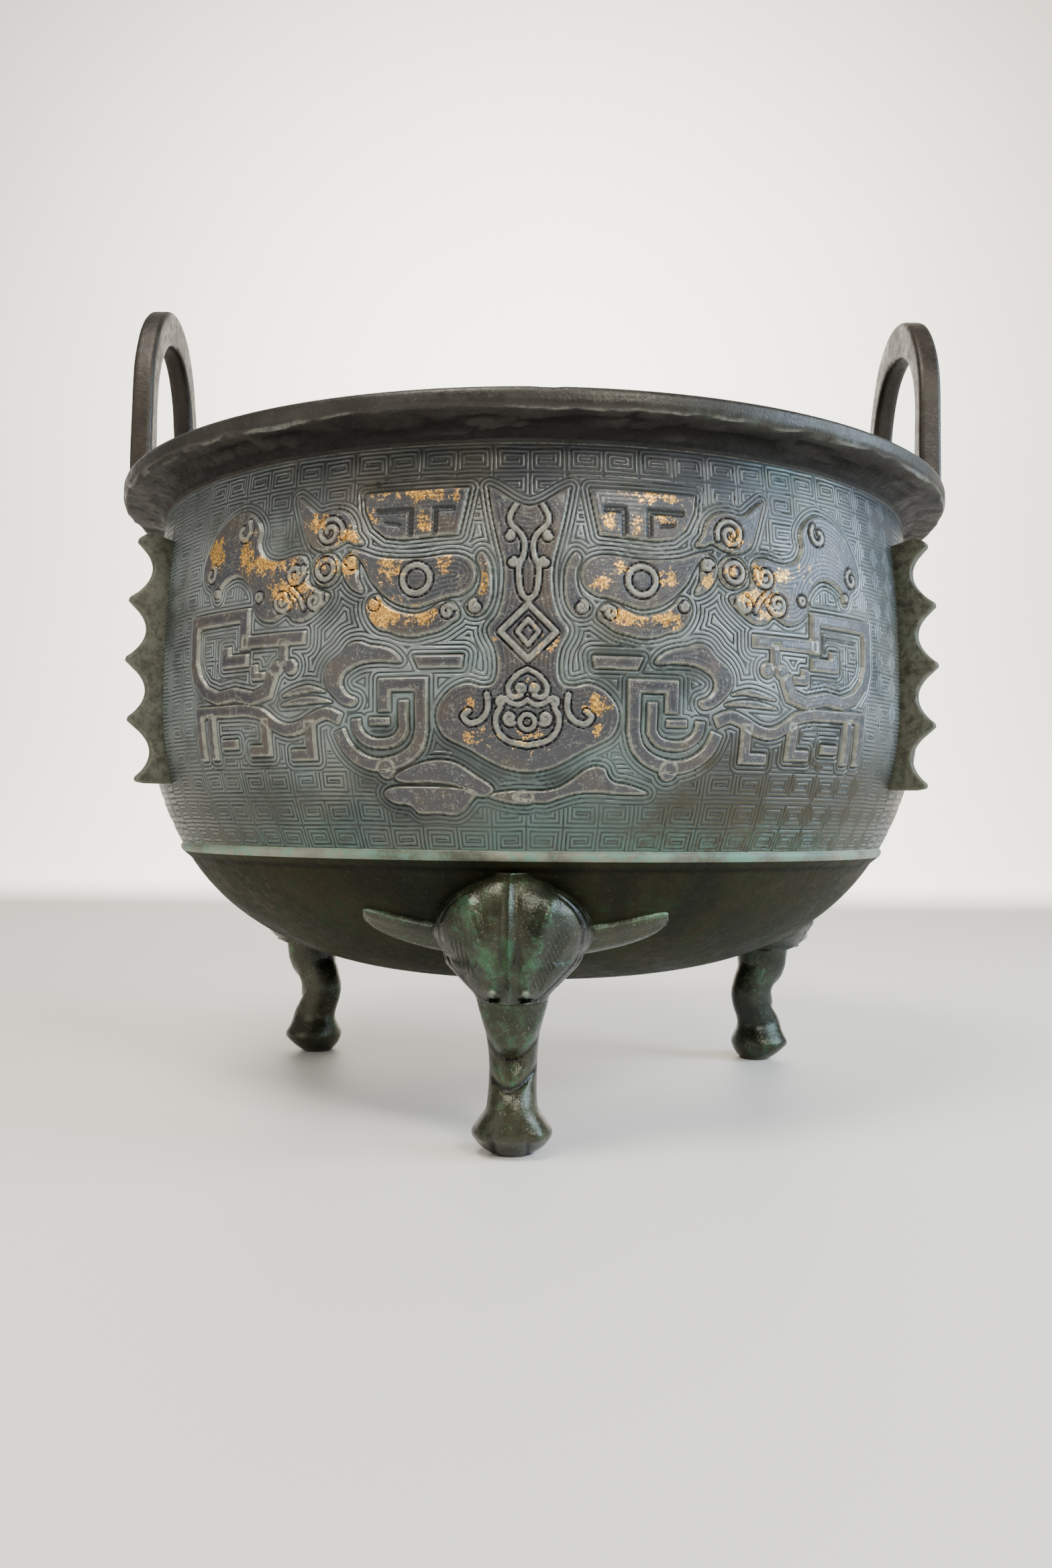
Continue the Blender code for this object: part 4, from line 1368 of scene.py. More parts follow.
@dataclass
class ReliefWall:
    """Upright wall with the three masks, in pieces that meet at upright joins, in millimetres."""

    front_step: float = 0.345
    back_step: float = 0.72
    skirt: float = 1.6
    back_rows: int = 8
    mask_count: int = 3
    front_parts: int = 3
    first_seed: int = 11
    quick_coarser: float = 1.6

    def build(self) -> list[Piece]:
        """Makes every piece of the wall.

        Returns:
            The pieces.
        """
        threads = {"front": SHEET.thread, "back": SHEET.back_thread}
        finish = WallPatina()
        materials = {key: finish.build(threads[key], f"bronze_relief_{key}") for key in threads}
        drawing = MaskDrawing()
        made = []
        for mask in range(self.mask_count):
            front = mask == 0
            key = "front" if front else "back"
            relief = Relief(drawing, front, Noise(self.first_seed + mask), threads[key])
            parts = self.front_parts if front else 1
            edges = np.linspace(-0.5 * SHEET.width, 0.5 * SHEET.width, parts + 1)
            azimuth = FRONT + 2.0 * math.pi * mask / self.mask_count
            for part, (left, right) in enumerate(zip(edges[:-1], edges[1:])):
                step = self.front_step if front else self.back_step
                piece = self.piece(f"relief_{mask}_{part}", relief, azimuth, left, right, step)
                piece.data.materials.append(materials[key])
                made.append(piece)
        return made

    def piece(self, name: str, relief: Relief, azimuth: float, left: float, right: float,
              step: float) -> Piece:
        """One piece of the wall: a grid bent to the wall, with a closed back.

        Args:
            name: The piece's name.
            relief: Heights of the mask that it belongs to.
            azimuth: Direction of the mask's middle line.
            left: Its left end on the sheet.
            right: Its right end on the sheet.
            step: Distance between neighbouring points, in millimetres.

        Returns:
            The piece.
        """
        columns = int(round((right - left) / step))
        rows = int(round((SHEET.high - SHEET.low) / step / self.back_rows)) * self.back_rows
        s = np.linspace(left, right, columns + 1)
        z = np.linspace(SHEET.low, SHEET.high, rows + 1)
        field = relief.heights(s, z)
        Bench.clear()
        bpy.ops.mesh.primitive_grid_add(x_subdivisions=columns, y_subdivisions=rows, size=2.0)
        grid = bpy.context.object
        flat = Bench.points(grid)
        i = np.rint((flat[:, 0] + 1.0) * 0.5 * columns).astype(int)
        j = np.rint((flat[:, 1] + 1.0) * 0.5 * rows).astype(int)
        points = self.on_wall(s[i], z[j], field["height"][j, i], azimuth)
        Bench.move(grid, points)
        for key in ("plate", "line", "gilt", "off", "far", "across", "up"):
            layer = grid.data.attributes.new(key, 'FLOAT', 'POINT')
            layer.data.foreach_set("value", field[key][j, i].astype(np.float32))
        self.close_back(grid, i, j, s, z, azimuth)
        return Bench.finish(grid, name, 75.0)

    def on_wall(self, s: Array, z: Array, lift: Array | float, azimuth: float) -> Array:
        """Points of the wall for places on the sheet.

        Args:
            s: Places across the sheet.
            z: Heights on the sheet.
            lift: Heights above the wall, in millimetres.
            azimuth: Direction of the mask's middle line.

        Returns:
            The points, in metres.
        """
        turn = azimuth + 2.0 * math.pi / self.mask_count * s / SHEET.width
        share = (z - SHEET.low) / (SHEET.high - SHEET.low)
        height = FORM.band_height + (FORM.neck_height - FORM.band_height) * share
        radius = FORM.wall_radius(height) + lift * MM
        return np.stack([radius * np.cos(turn), radius * np.sin(turn), height], -1)

    def close_back(self, grid: Piece, i: Array, j: Array, s: Array, z: Array, azimuth: float) -> None:
        """Closes a bent grid with a coarse back inside the wall.

        Args:
            grid: The grid.
            i: Column of each of its points.
            j: Row of each of its points.
            s: Place of each column.
            z: Height of each row.
            azimuth: Direction of the mask's middle line.
        """
        columns, rows = len(s) - 1, len(z) - 1
        number = np.empty((rows + 1, columns + 1), int)
        number[j, i] = np.arange(len(i))
        every = rows // self.back_rows
        bm = bmesh.new()
        bm.from_mesh(grid.data)
        bm.verts.ensure_lookup_table()
        back = []
        for row in range(self.back_rows + 1):
            line = self.on_wall(s, np.full(len(s), z[row * every]), -self.skirt, azimuth)
            back.append([bm.verts.new(p) for p in line])
        for low, high in zip(back[:-1], back[1:]):
            for k in range(columns):
                bm.faces.new((low[k], high[k], high[k + 1], low[k + 1]))
        front = list(bm.verts)[:len(i)]
        for k in range(columns):
            bm.faces.new((front[number[0, k]], back[0][k], back[0][k + 1], front[number[0, k + 1]]))
            bm.faces.new((front[number[rows, k + 1]], back[-1][k + 1], back[-1][k], front[number[rows, k]]))
        for side, column in ((0, 0), (1, columns)):
            for row in range(self.back_rows):
                edge = [front[number[r, column]] for r in range(row * every, (row + 1) * every + 1)]
                loop = edge + [back[row + 1][column], back[row][column]]
                bm.faces.new(loop if side else loop[::-1])
        bmesh.ops.recalc_face_normals(bm, faces=bm.faces)
        bm.to_mesh(grid.data)
        bm.free()


@dataclass
class Shell:
    """Turned body of the bowl behind the relief: rim, mouth, inside, band and underbody."""

    steps: int = 288
    recess: float = 1.55 * MM
    lip: float = 1.2 * MM
    cove_start: Point = (1.8 * MM, 0.7 * MM)
    cove_powers: Point = (0.8, 1.3)
    nick_width: float = 1.1 * MM
    nick_depth: float = 1.3 * MM
    nick_turn: float = math.radians(1.9)
    file_marks: float = 0.35 * MM
    under_lumps: float = 0.6 * MM
    edge_lumps: float = 0.45 * MM
    dents: float = 0.22 * MM
    seed: int = 5

    def profile(self) -> Points:
        """Half section of the shell, from the middle of its floor up and round to its underside.

        Returns:
            Radius and height of each point.
        """
        form = FORM
        floor = form.bottom_height + form.wall
        inner_start = form.shoulder_height - 0.012
        points = [(0.0, floor)]
        for share in np.linspace(0.90, 0.0, 14):
            height = inner_start - (inner_start - floor) * math.sin(0.5 * math.pi * share)
            points.append((float(form.underbody_radius(height, form.wall)), height))
        points += [(float(form.wall_radius(h)) - form.wall, h)
                   for h in np.linspace(form.belly_height - 0.010, form.neck_height, 9)]
        behind = np.linspace(form.neck_height - 0.0004, form.band_height + 0.0006, 14)
        wall = [(float(form.wall_radius(h)) - self.recess, h) for h in behind]
        return points + self.rim_profile() + wall + self.lower_profile()

    def rim_profile(self) -> Points:
        """Half section of the rim: out over its flat top, down its edge and in under it to the neck.

        Returns:
            Radius and height of each point.
        """
        mouth, out, top = FORM.neck_radius - FORM.wall, FORM.rim_radius, FORM.rim_top
        flat = out - mouth - 2.0 * self.lip
        points = [(mouth, top - 0.0030), (mouth + 0.0003, top - 0.0008), (mouth + self.lip, top - 0.0001)]
        points += [(mouth + self.lip + flat * share, top) for share in (0.25, 0.5, 0.75)]
        points += [(out - 0.0011, top - 0.0001), (out - 0.0003, top - 0.0006)]
        upright = FORM.rim_edge - 0.0026
        points += [(out, top - 0.0014 - upright * share) for share in (0.0, 0.33, 0.66, 1.0)]
        under = top - FORM.rim_edge
        radius, height = out - self.cove_start[0], under - self.cove_start[1]
        points += [(out - 0.0006, under - 0.0002), (radius, height)]
        for turn in 0.5 * math.pi * np.linspace(0.0, 1.0, 7)[1:]:
            inward = math.sin(turn) ** self.cove_powers[0]
            down = (1.0 - math.cos(turn)) ** self.cove_powers[1]
            points.append((radius + (FORM.neck_radius - radius) * inward,
                           height - (height - FORM.neck_height) * down))
        return points

    def lower_profile(self) -> Points:
        """Half section of the band and the underbody, downwards.

        Returns:
            Radius and height of each point.
        """
        form = FORM
        base = float(form.underbody_radius(form.band_height))
        half = form.band_half_width
        points = [(base + 0.0002, form.band_height + 0.0002)]
        for share in np.linspace(-0.8, 0.8, 7):
            proud = form.band_proud * math.cos(0.5 * math.pi * share * 0.9)
            points.append((base + proud, form.band_height - half * share))
        start = form.band_height - half
        for share in np.linspace(0.0, 1.0, 34)[1:-1]:
            height = start - (start - form.bottom_height) * math.sin(0.5 * math.pi * share)
            points.append((float(form.underbody_radius(height)), height))
        return points + [(0.0, form.bottom_height)]

    def build(self) -> Piece:
        """Spins the profile about the axis and roughens the casting.

        Returns:
            The shell.
        """
        profile = self.profile()
        Bench.clear()
        bpy.ops.mesh.primitive_plane_add(size=0.001, location=(0.0, 0.0, 0.0))
        shell = bpy.context.object
        bpy.ops.object.mode_set(mode='EDIT')
        bpy.ops.mesh.select_all(action='SELECT')
        bpy.ops.mesh.merge(type='CENTER')
        bpy.ops.transform.translate(value=(profile[0][0], 0.0, profile[0][1]))
        for (ra, za), (rb, zb) in zip(profile[:-1], profile[1:]):
            Bench.extrude(rb - ra, 0.0, zb - za)
        bpy.ops.mesh.select_all(action='SELECT')
        bpy.ops.mesh.spin(steps=self.steps, angle=2.0 * math.pi, center=(0.0, 0.0, 0.0),
                          axis=(0.0, 0.0, 1.0))
        bpy.ops.mesh.select_all(action='SELECT')
        bpy.ops.mesh.remove_doubles(threshold=0.000002)
        Bench.leave_edit()
        self.roughen(shell)
        Bench.mark_sharpness(shell, 24.0)
        self.dress(shell)
        return Bench.finish(shell, "bowl_shell", 55.0)

    def roughen(self, shell: Piece) -> None:
        """Adds the file marks under the rim, the nick in its edge and the uneven underbody.

        Args:
            shell: The spun shell.
        """
        points = Bench.points(shell)
        height = points[:, 2]
        radius = np.hypot(points[:, 0], points[:, 1])
        turn = np.arctan2(points[:, 1], points[:, 0])
        out = np.stack([np.cos(turn), np.sin(turn), np.zeros(len(turn))], -1)
        noise = Noise(self.seed)
        under = (radius > FORM.neck_radius + 0.0012) & (height > FORM.neck_height - 0.0002)
        under &= height < FORM.rim_top - FORM.rim_edge + 0.0004
        marks = noise.layers(np.stack([turn * 60.0, radius * 120.0, height * 100.0], -1), 3)
        lumps = noise.layers(np.stack([turn * 11.0, radius * 260.0, height * 200.0], -1) + 9.0, 3)
        height += np.where(under, self.file_marks * marks + self.under_lumps * lumps, 0.0)
        edge = (radius > FORM.rim_radius - 0.0008) & (height < FORM.rim_top - 0.0020)
        height += np.where(edge, self.edge_lumps * lumps, 0.0)
        nick = hump((turn - FRONT) * FORM.rim_radius, self.nick_turn * FORM.rim_radius, self.nick_width)
        top_edge = fade(FORM.rim_radius - 0.004, FORM.rim_radius - 0.0008, radius)
        height -= self.nick_depth * nick * top_edge * (height > FORM.rim_top - 0.0020)
        low = (height < FORM.band_height - 0.002) & (height > FORM.bottom_height - 0.001)
        dents = noise.layers(points * 45.0 + 3.0, 2)
        points += out * np.where(low & (radius > 0.001), self.dents * dents, 0.0)[:, None]
        Bench.move(shell, points)

    def dress(self, shell: Piece) -> None:
        """Gives the rim, the inside, the band and the underbody their own finishes, the underbody's
        darkened as painted shade.

        Args:
            shell: The spun shell.
        """
        zones = (Zone.RIM, Zone.UNDER_RIM, Zone.INSIDE, Zone.UNDERBODY, Zone.BAND)
        for zone in zones:
            shell.data.materials.append(METALS[zone].build())
        rim, under_rim, inside, underbody, band = range(len(zones))
        for face in shell.data.polygons:
            radius = math.hypot(face.center.x, face.center.y)
            height = face.center.z
            outer = radius > float(FORM.underbody_radius(min(height, 0.1), 0.5 * FORM.wall))
            if height > FORM.neck_height - 0.001 and radius > FORM.neck_radius - FORM.wall - 0.0004:
                under = height < FORM.rim_top - FORM.rim_edge and radius > FORM.neck_radius - 0.0002
                face.material_index = under_rim if under else rim
            elif height < FORM.band_height - 0.8 * FORM.band_half_width and outer:
                face.material_index = underbody
            elif height < FORM.band_height + FORM.band_half_width and outer:
                face.material_index = band
            else:
                face.material_index = inside


@dataclass
class Handle:
    """Upright loop handle on the rim, squared in section with worn corners."""

    half_width: float = 33.5 * MM
    rise: float = 69.7 * MM
    spring_rise: float = 31.7 * MM
    bar: float = 8.0 * MM
    crown: float = 12.2 * MM
    depth: float = 7.2 * MM
    edge: float = 1.5 * MM
    inset: float = 0.4 * MM
    lean: float = 1.0 * MM
    root: float = 3.1 * MM
    firm_end: float = 6.0 * MM
    uneven: tuple[float, float, float] = (0.18 * MM, 0.30 * MM, 0.20 * MM)
    seed: int = 21
    limb_steps: int = 14
    arch_steps: int = 40

    @property
    def spring(self) -> float:
        """Height where the limbs pass into the arch."""
        return FORM.rim_top + self.spring_rise

    def build(self, side: int, name: str) -> Piece:
        """Draws the bar up one limb, spins it over the arch and draws it down the other.

        Args:
            side: 1 for the handle at +X and -1 for the one at -X.
            name: The piece's name.

        Returns:
            The handle.
        """
        foot = FORM.rim_top - self.root
        corner = self.half_width + self.lean
        middle = math.sqrt(FORM.rim_radius ** 2 - corner ** 2) - self.inset - 0.5 * self.depth
        centre_line = self.half_width - 0.5 * self.bar
        Bench.clear()
        bpy.ops.mesh.primitive_plane_add(size=1.0, location=(0.0, centre_line, foot))
        handle = bpy.context.object
        handle.scale = (self.depth, self.bar, 1.0)
        bpy.context.view_layer.update()
        Bench.settle(handle)
        Bench.pick(handle)
        bpy.ops.object.mode_set(mode='EDIT')
        bpy.ops.mesh.select_all(action='SELECT')
        bpy.ops.mesh.subdivide(number_cuts=2)
        climb = (self.spring - foot) / self.limb_steps
        for _ in range(self.limb_steps):
            Bench.extrude(0.0, 0.0, climb)
        bpy.ops.mesh.spin(steps=self.arch_steps, angle=-math.pi, center=(0.0, 0.0, self.spring),
                          axis=(1.0, 0.0, 0.0))
        for _ in range(self.limb_steps):
            Bench.extrude(0.0, 0.0, -climb)
        Bench.leave_edit()
        self.shape(handle, foot)
        Bench.apply(handle, 'BEVEL', width=self.edge, segments=3, limit_method='ANGLE',
                    angle_limit=math.radians(50.0))
        self.wear(handle, side)
        points = Bench.points(handle)
        points[:, 0] += side * middle
        Bench.move(handle, points)
        Bench.mark_sharpness(handle, 24.0)
        handle.data.materials.append(METALS[Zone.HANDLE].build())
        return Bench.finish(handle, name, 40.0)

    def shape(self, handle: Piece, foot: float) -> None:
        """Stretches the round arch to its height and spreads the limbs a little.

        Args:
            handle: The spun handle.
            foot: Height where the limbs end.
        """
        points = Bench.points(handle)
        above = np.maximum(points[:, 2] - self.spring, 0.0)
        arch = self.rise - self.spring_rise
        outer = arch / self.half_width
        inner = (arch - self.crown) / (self.half_width - self.bar)
        reach = np.hypot(points[:, 1], above)
        share = np.clip((reach - self.half_width + self.bar) / self.bar, 0.0, 1.0)
        points[:, 2] += above * (inner + (outer - inner) * share - 1.0)
        below = np.clip((self.spring - points[:, 2]) / (self.spring - foot), 0.0, 1.0)
        points[:, 1] += np.sign(points[:, 1]) * self.lean * below
        Bench.move(handle, points)

    def wear(self, handle: Piece, side: int) -> None:
        """Makes the casting slightly uneven.

        Args:
            handle: The handle.
            side: Which handle it is, so that the two differ.
        """
        points = Bench.points(handle)
        noise = Noise(self.seed + side)
        shift = np.stack([noise.layers(points * 60.0 + 11.0 * k, 2) for k in range(3)], -1)
        top = FORM.rim_top + self.rise
        firm = fade(FORM.rim_top, FORM.rim_top + self.firm_end, points[:, 2])
        firm = firm * fade(top, top - self.firm_end, points[:, 2])
        points += shift * np.array(self.uneven) * firm[:, None]
        Bench.move(handle, points)


@dataclass
class Flange:
    """Hooked flange between two masks."""

    thickness: float = 4.0 * MM
    top: float = 178.2 * MM
    foot: float = 101.5 * MM
    reach: float = 141.2 * MM
    taper: float = 3.2 * MM
    scallop: float = 5.6 * MM
    tip: float = 1.1 * MM
    end: float = 3.0 * MM
    edge: float = 0.7 * MM
    hooks: int = 5
    curve_steps: int = 14

    def outline(self) -> Points:
        """Radius and height of the outline, its root inside the wall.

        Returns:
            Points round the flange.
        """
        pitch = (self.top - self.foot - self.end - self.tip) / (self.hooks - 1)
        high = self.top - self.end
        tips = [(self.reach - self.taper * (2.0 * i / (self.hooks - 1) - 1.0) ** 2, high - i * pitch)
                for i in range(self.hooks)]
        points = [(FORM.neck_radius - 0.5 * FORM.wall, high), (tips[0][0] - self.end, self.top)]
        for (ra, za), (rb, zb) in zip(tips[:-1], tips[1:]):
            points += [(ra - 0.3 * MM, za + self.tip), (ra, za + 0.3 * self.tip), (ra, za - 0.3 * self.tip)]
            for k in range(1, self.curve_steps):
                share = k / self.curve_steps
                dip = self.scallop * math.sin(math.pi * share ** 0.95) ** 0.75
                rise = 2.0 * self.tip * (share - 0.5)
                points.append((ra + (rb - ra) * share - dip, za + (zb - za) * share + rise))
        last, low = tips[-1]
        points += [(last - 0.3 * MM, low + self.tip), (last, low + 0.3 * self.tip),
                   (last, self.foot + 0.5 * self.tip), (last - self.end, self.foot)]
        for height in np.linspace(self.foot, self.top - 0.010, 5):
            points.append((float(FORM.wall_radius(height)) - 0.5 * FORM.wall, float(height)))
        return points

    def build(self, azimuth: float, name: str) -> Piece:
        """Fills the outline, extrudes it to its thickness and rounds its edges.

        Args:
            azimuth: Direction in which it stands.
            name: The piece's name.

        Returns:
            The flange.
        """
        outline = self.outline()
        Bench.clear()
        bpy.ops.mesh.primitive_circle_add(vertices=len(outline), radius=0.01, fill_type='NGON')
        flange = bpy.context.object
        points = np.array([(r, -0.5 * self.thickness, z) for r, z in outline])
        Bench.move(flange, points)
        Bench.pick(flange)
        bpy.ops.object.mode_set(mode='EDIT')
        bpy.ops.mesh.select_all(action='SELECT')
        Bench.extrude(0.0, self.thickness, 0.0)
        Bench.leave_edit()
        Bench.apply(flange, 'BEVEL', width=self.edge, segments=2, limit_method='ANGLE',
                    angle_limit=math.radians(60.0))
        Bench.mark_sharpness(flange)
        Bench.apply(flange, 'TRIANGULATE')
        flange.data.transform(Matrix.Rotation(azimuth, 4, 'Z'))
        flange.data.materials.append(METALS[Zone.FLANGE].build())
        return Bench.finish(flange, name, 40.0)


@dataclass
class Leg:
    """Cabriole leg with a paw foot, and a beast's head with two ears that grows from the bowl.

    Chin, lip and crown are heights on the head, in shares of the brow's height.
    """

    circle: float = 99.0 * MM
    brow: float = FORM.band_height - 3.0 * MM
    chin: float = 0.532
    lip: float = 0.547
    crown: float = 0.981
    head_root: float = 54.0 * MM
    head_half_width: float = 22.4 * MM
    head_reach: float = 124.6 * MM
    head_keel: float = 1.0 * MM
    shaft: float = 6.7 * MM
    foot_half_width: float = 11.1 * MM
    foot_reach: float = 11.8 * MM
    sole: float = 5.6 * MM
    ear_length: float = 21.0 * MM
    ear_half_width: float = 7.6 * MM
    ear_proud: float = 2.6 * MM
    ear_sunk: float = 0.6 * MM
    ear_tilt: float = 0.6 * MM
    ear_rise: float = 5.5 * MM
    ear_height: float = 58.1 * MM
    ear_dish: float = 0.6 * MM
    ear_sides: int = 40
    front_sides: int = 190
    back_sides: int = 26
    rings: int = 200

    def stations(self) -> Array:
        """Sections from the sole to the brow, in shares of its height and of the foot's or head's reach.

        Returns:
            Rows of height, outer radius, inner radius and half width, in metres.
        """
        foot, shaft, sole, toe, head = (self.foot_half_width, self.shaft, self.sole, self.foot_reach,
                                        self.head_half_width)
        below = ((0.0, 0.45, 0.42, sole), (0.015, 0.58, 0.51, 1.3 * sole),
                 (0.044, 0.78, 0.61, 0.88 * foot), (0.080, 1.0, 0.68, foot),
                 (0.120, 0.97, 0.64, 0.84 * foot), (0.171, 0.92, 0.56, 1.04 * shaft),
                 (0.259, 0.62, 0.75, 0.99 * shaft), (0.316, 0.52, 0.82, shaft),
                 (0.405, 0.92, 0.69, 1.08 * shaft), (0.468, 1.08, 0.51, 1.25 * shaft),
                 (self.chin, 1.15, 0.54, 1.45 * shaft))
        above = ((self.lip, 0.30, 0.32, 0.44), (0.614, 0.16, 0.47, 0.64), (0.690, 0.05, 0.54, 0.87),
                 (0.772, 0.0, 0.22, 1.0), (0.842, 0.01, 0.0, 0.91), (0.899, 0.05, 0.0, 0.72),
                 (0.949, 0.14, 0.0, 0.44), (self.crown, 0.28, 0.0, 0.20))
        rows = [(h * self.brow, self.circle + out * toe, self.circle - back * toe, half)
                for h, out, back, half in below]
        rows += [(h * self.brow, self.head_reach - short * head, self.circle - back * head, half * head)
                 for h, short, back, half in above]
        return np.array(rows)

    def build(self, azimuth: float, name: str, fine: bool) -> Piece:
        """Lofts the leg, carves the head and lays the ears on the bowl.

        Args:
            azimuth: Direction in which the leg stands.
            name: The piece's name.
            fine: Whether it is the leg at the front, which is made with more points.

        Returns:
            The leg with its head and ears.
        """
        rows = self.stations()
        heights = self.ring_heights(1.0 if fine else 0.5)
        outer, inner, half = (self.blend(heights, rows[:, 0], rows[:, k]) for k in (1, 2, 3))
        front = np.linspace(-0.5, 0.5, int(self.front_sides * (1.0 if fine else 0.4)), endpoint=False)
        angle = math.pi * np.concatenate([front, np.linspace(0.5, 1.5, self.back_sides, endpoint=False)])
        bm = bmesh.new()
        # The carving's lift goes to this layer: the finish darkens the carved hollows as painted shade, and
        # pales and greens the most raised carving as a painted highlight.
        cavity = bm.verts.layers.float.new("cavity")
        rings, marks = [], []
        for k, height in enumerate(heights):
            points, carved = self.section(height, outer[k], inner[k], half[k], angle)
            rings.append(points)
            marks.append(carved)
        self.loft(bm, np.array(rings), cavity, np.array(marks))
        for side in (1, -1):
            self.loft(bm, *self.ear(side, cavity))
        bmesh.ops.recalc_face_normals(bm, faces=bm.faces)
        mesh = bpy.data.meshes.new(name)
        bm.to_mesh(mesh)
        bm.free()
        leg = bpy.data.objects.new(name, mesh)
        bpy.context.scene.collection.objects.link(leg)
        leg.data.transform(Matrix.Rotation(azimuth, 4, 'Z'))
        leg.data.materials.append(METALS[Zone.LEG].build())
        return Bench.finish(leg, name, 60.0)

    def ring_heights(self, share: float) -> Array:
        """Heights of the rings, close together on the head and closest at its lower edge.

        Args:
            share: How many of the rings are made, 1 for all.

        Returns:
            The heights, in metres.
        """
        count = int(self.rings * share)
        chin, lip, crown = self.chin * self.brow, self.lip * self.brow, self.crown * self.brow
        low = np.linspace(0.0, chin, int(0.30 * count))
        edge = np.linspace(chin + 0.2 * MM, lip, 8)
        high = np.linspace(lip + 0.15 * MM, crown, count - len(low) - len(edge))
        return np.concatenate([low, edge, high])

    @staticmethod
    def blend(at: Array, heights: Array, values: Array) -> Array:
        """Smooth reading between stations, without overshoot.

        Args:
            at: Heights wanted.
            heights: Heights of the stations.
            values: Values at the stations.

        Returns:
            Values at the heights wanted.
        """
        step = np.diff(heights)
        slope = np.diff(values) / step
        tangent = np.zeros(len(values))
        before, after = slope[:-1], slope[1:]
        same = before * after > 0.0
        tangent[1:-1] = np.where(same, 2.0 * before * after / np.where(same, before + after, 1.0), 0.0)
        k = np.clip(np.searchsorted(heights, at, side='right') - 1, 0, len(step) - 1)
        t = (at - heights[k]) / step[k]
        return ((2 * t ** 3 - 3 * t ** 2 + 1) * values[k] + (t ** 3 - 2 * t ** 2 + t) * step[k] * tangent[k]
                + (3 * t ** 2 - 2 * t ** 3) * values[k + 1] + (t ** 3 - t ** 2) * step[k] * tangent[k + 1])

    def section(self, height: float, outer: float, inner: float, half: float,
                angle: Array) -> tuple[Array, Array]:
        """Points round the leg at one height.

        Args:
            height: Height of the section.
            outer: Radius of its outermost point.
            inner: Radius of its innermost point.
            half: Half its width.
            angle: Angles round it, 0 outwards.

        Returns:
            One point for each angle, and how far the carving lifts it, in millimetres.
        """
        forward, across = np.cos(angle), half * np.sin(angle)
        in_wall = float(fade(self.head_root - 0.002, self.head_root + 0.002, np.array(height)))
        wall = 0.5 * float(FORM.underbody_radius(height) + FORM.underbody_radius(height, FORM.wall))
        sunk = np.sqrt(np.maximum(wall ** 2 - across ** 2, 0.0))
        back = inner + (sunk - inner) * in_wall
        middle = 0.5 * (outer + inner) + (back + 0.25 * (outer - back) - 0.5 * (outer + inner)) * in_wall
        reach = np.where(forward > 0.0, outer - middle, middle - back)
        out = middle + reach * np.sign(forward) * np.abs(forward) ** 0.92
        x, z, width = across / MM, height / MM, half / MM
        carved = self.face(x, z, width) if height > 0.54 * self.brow else self.limb(x, z)
        carved = carved * fade(0.0, 0.30, forward)
        return np.stack([out + carved * MM, across, np.full(len(angle), height)], -1), carved

    def face(self, x: Array, z: float, width: float) -> Array:
        """How far the beast's face stands out of its round form, all in millimetres.

        A keel runs between two valleys, a rolled border rounds the cheeks, and the nostrils are
        slits under the wings of the nose.

        Args:
            x: Sideways places, in millimetres.
            z: Height, in millimetres.
            width: Half the head's width there, in millimetres.

        Returns:
            The lift, in millimetres.
        """
        side = np.abs(x)
        crown = float(fade(77.0, 69.0, np.array(z)))
        low = float(fade(68.0, 54.0, np.array(z)))
        keel = self.head_keel / MM * np.exp(-side / 0.7) + 0.3 * hump(side, 0.0, 1.6)
        valley = -0.75 * low * hump(side, 2.4, 1.5) - 0.25 * crown * hump(side, 1.8, 1.0)
        cheek = 1.3 * crown * hump(side, 3.6 + 0.36 * max(z - 49.0, 0.0), 2.5)
        rise = np.clip((z - 44.0) / 12.0, 0.0, 1.0) ** 0.7
        border = min(5.5 + 11.8 * rise + 0.12 * max(z - 56.0, 0.0), max(width - 3.4, 2.0))
        rolled = 0.55 * fade(border + 0.9, border + 1.9, side) - fade(border, border + 0.6, side)
        rolled = crown * (rolled - 0.45 * hump(side, border + 2.2, 0.35))
        pit = 0.9 * hump(x, 16.3, 1.0) * hump(z, 54.8, 1.2) - 1.3 * hump(x, -12.2, 1.3) * hump(z, 50.6, 1.5)
        wing = 1.2 * hump(side, 4.5, 2.2) * hump(z, 46.4, 1.5)
        slit = -2.2 * np.exp(-(np.abs(side - 4.3) / 1.9) ** 4) * hump(z, 44.2, 0.6)
        return keel + valley + cheek + rolled + pit + wing + slit + self.strokes(x, z)

    @staticmethod
    def strokes(x: Array, z: float) -> Array:
        """Short slanting cuts of the fur, a row on each cheek.

        Args:
            x: Sideways places, in millimetres.
            z: Height, in millimetres.

        Returns:
            The lift, in millimetres.
        """
        total = np.zeros(len(x))
        for start, end, way, pitch in (((6.6, 47.6), (14.4, 62.2), (0.36, -0.93), 1.05),
                                       ((-10.4, 51.0), (-14.6, 60.6), (0.12, -0.99), 1.2)):
            run = np.subtract(end, start)
            length = float(np.hypot(*run))
            run = run / length
            along = (x - start[0]) * run[0] + (z - start[1]) * run[1]
            off = (x - start[0]) * run[1] - (z - start[1]) * run[0]
            phase = ((x - start[0]) * -way[1] + (z - start[1]) * way[0]) / pitch
            inside = fade(-0.4, 0.4, along) * fade(length + 0.4, length - 0.4, along)
            inside = inside * fade(1.9, 1.3, np.abs(off))
            total = total - 0.42 * inside * (0.5 + 0.5 * np.cos(2.0 * math.pi * phase))
        return total

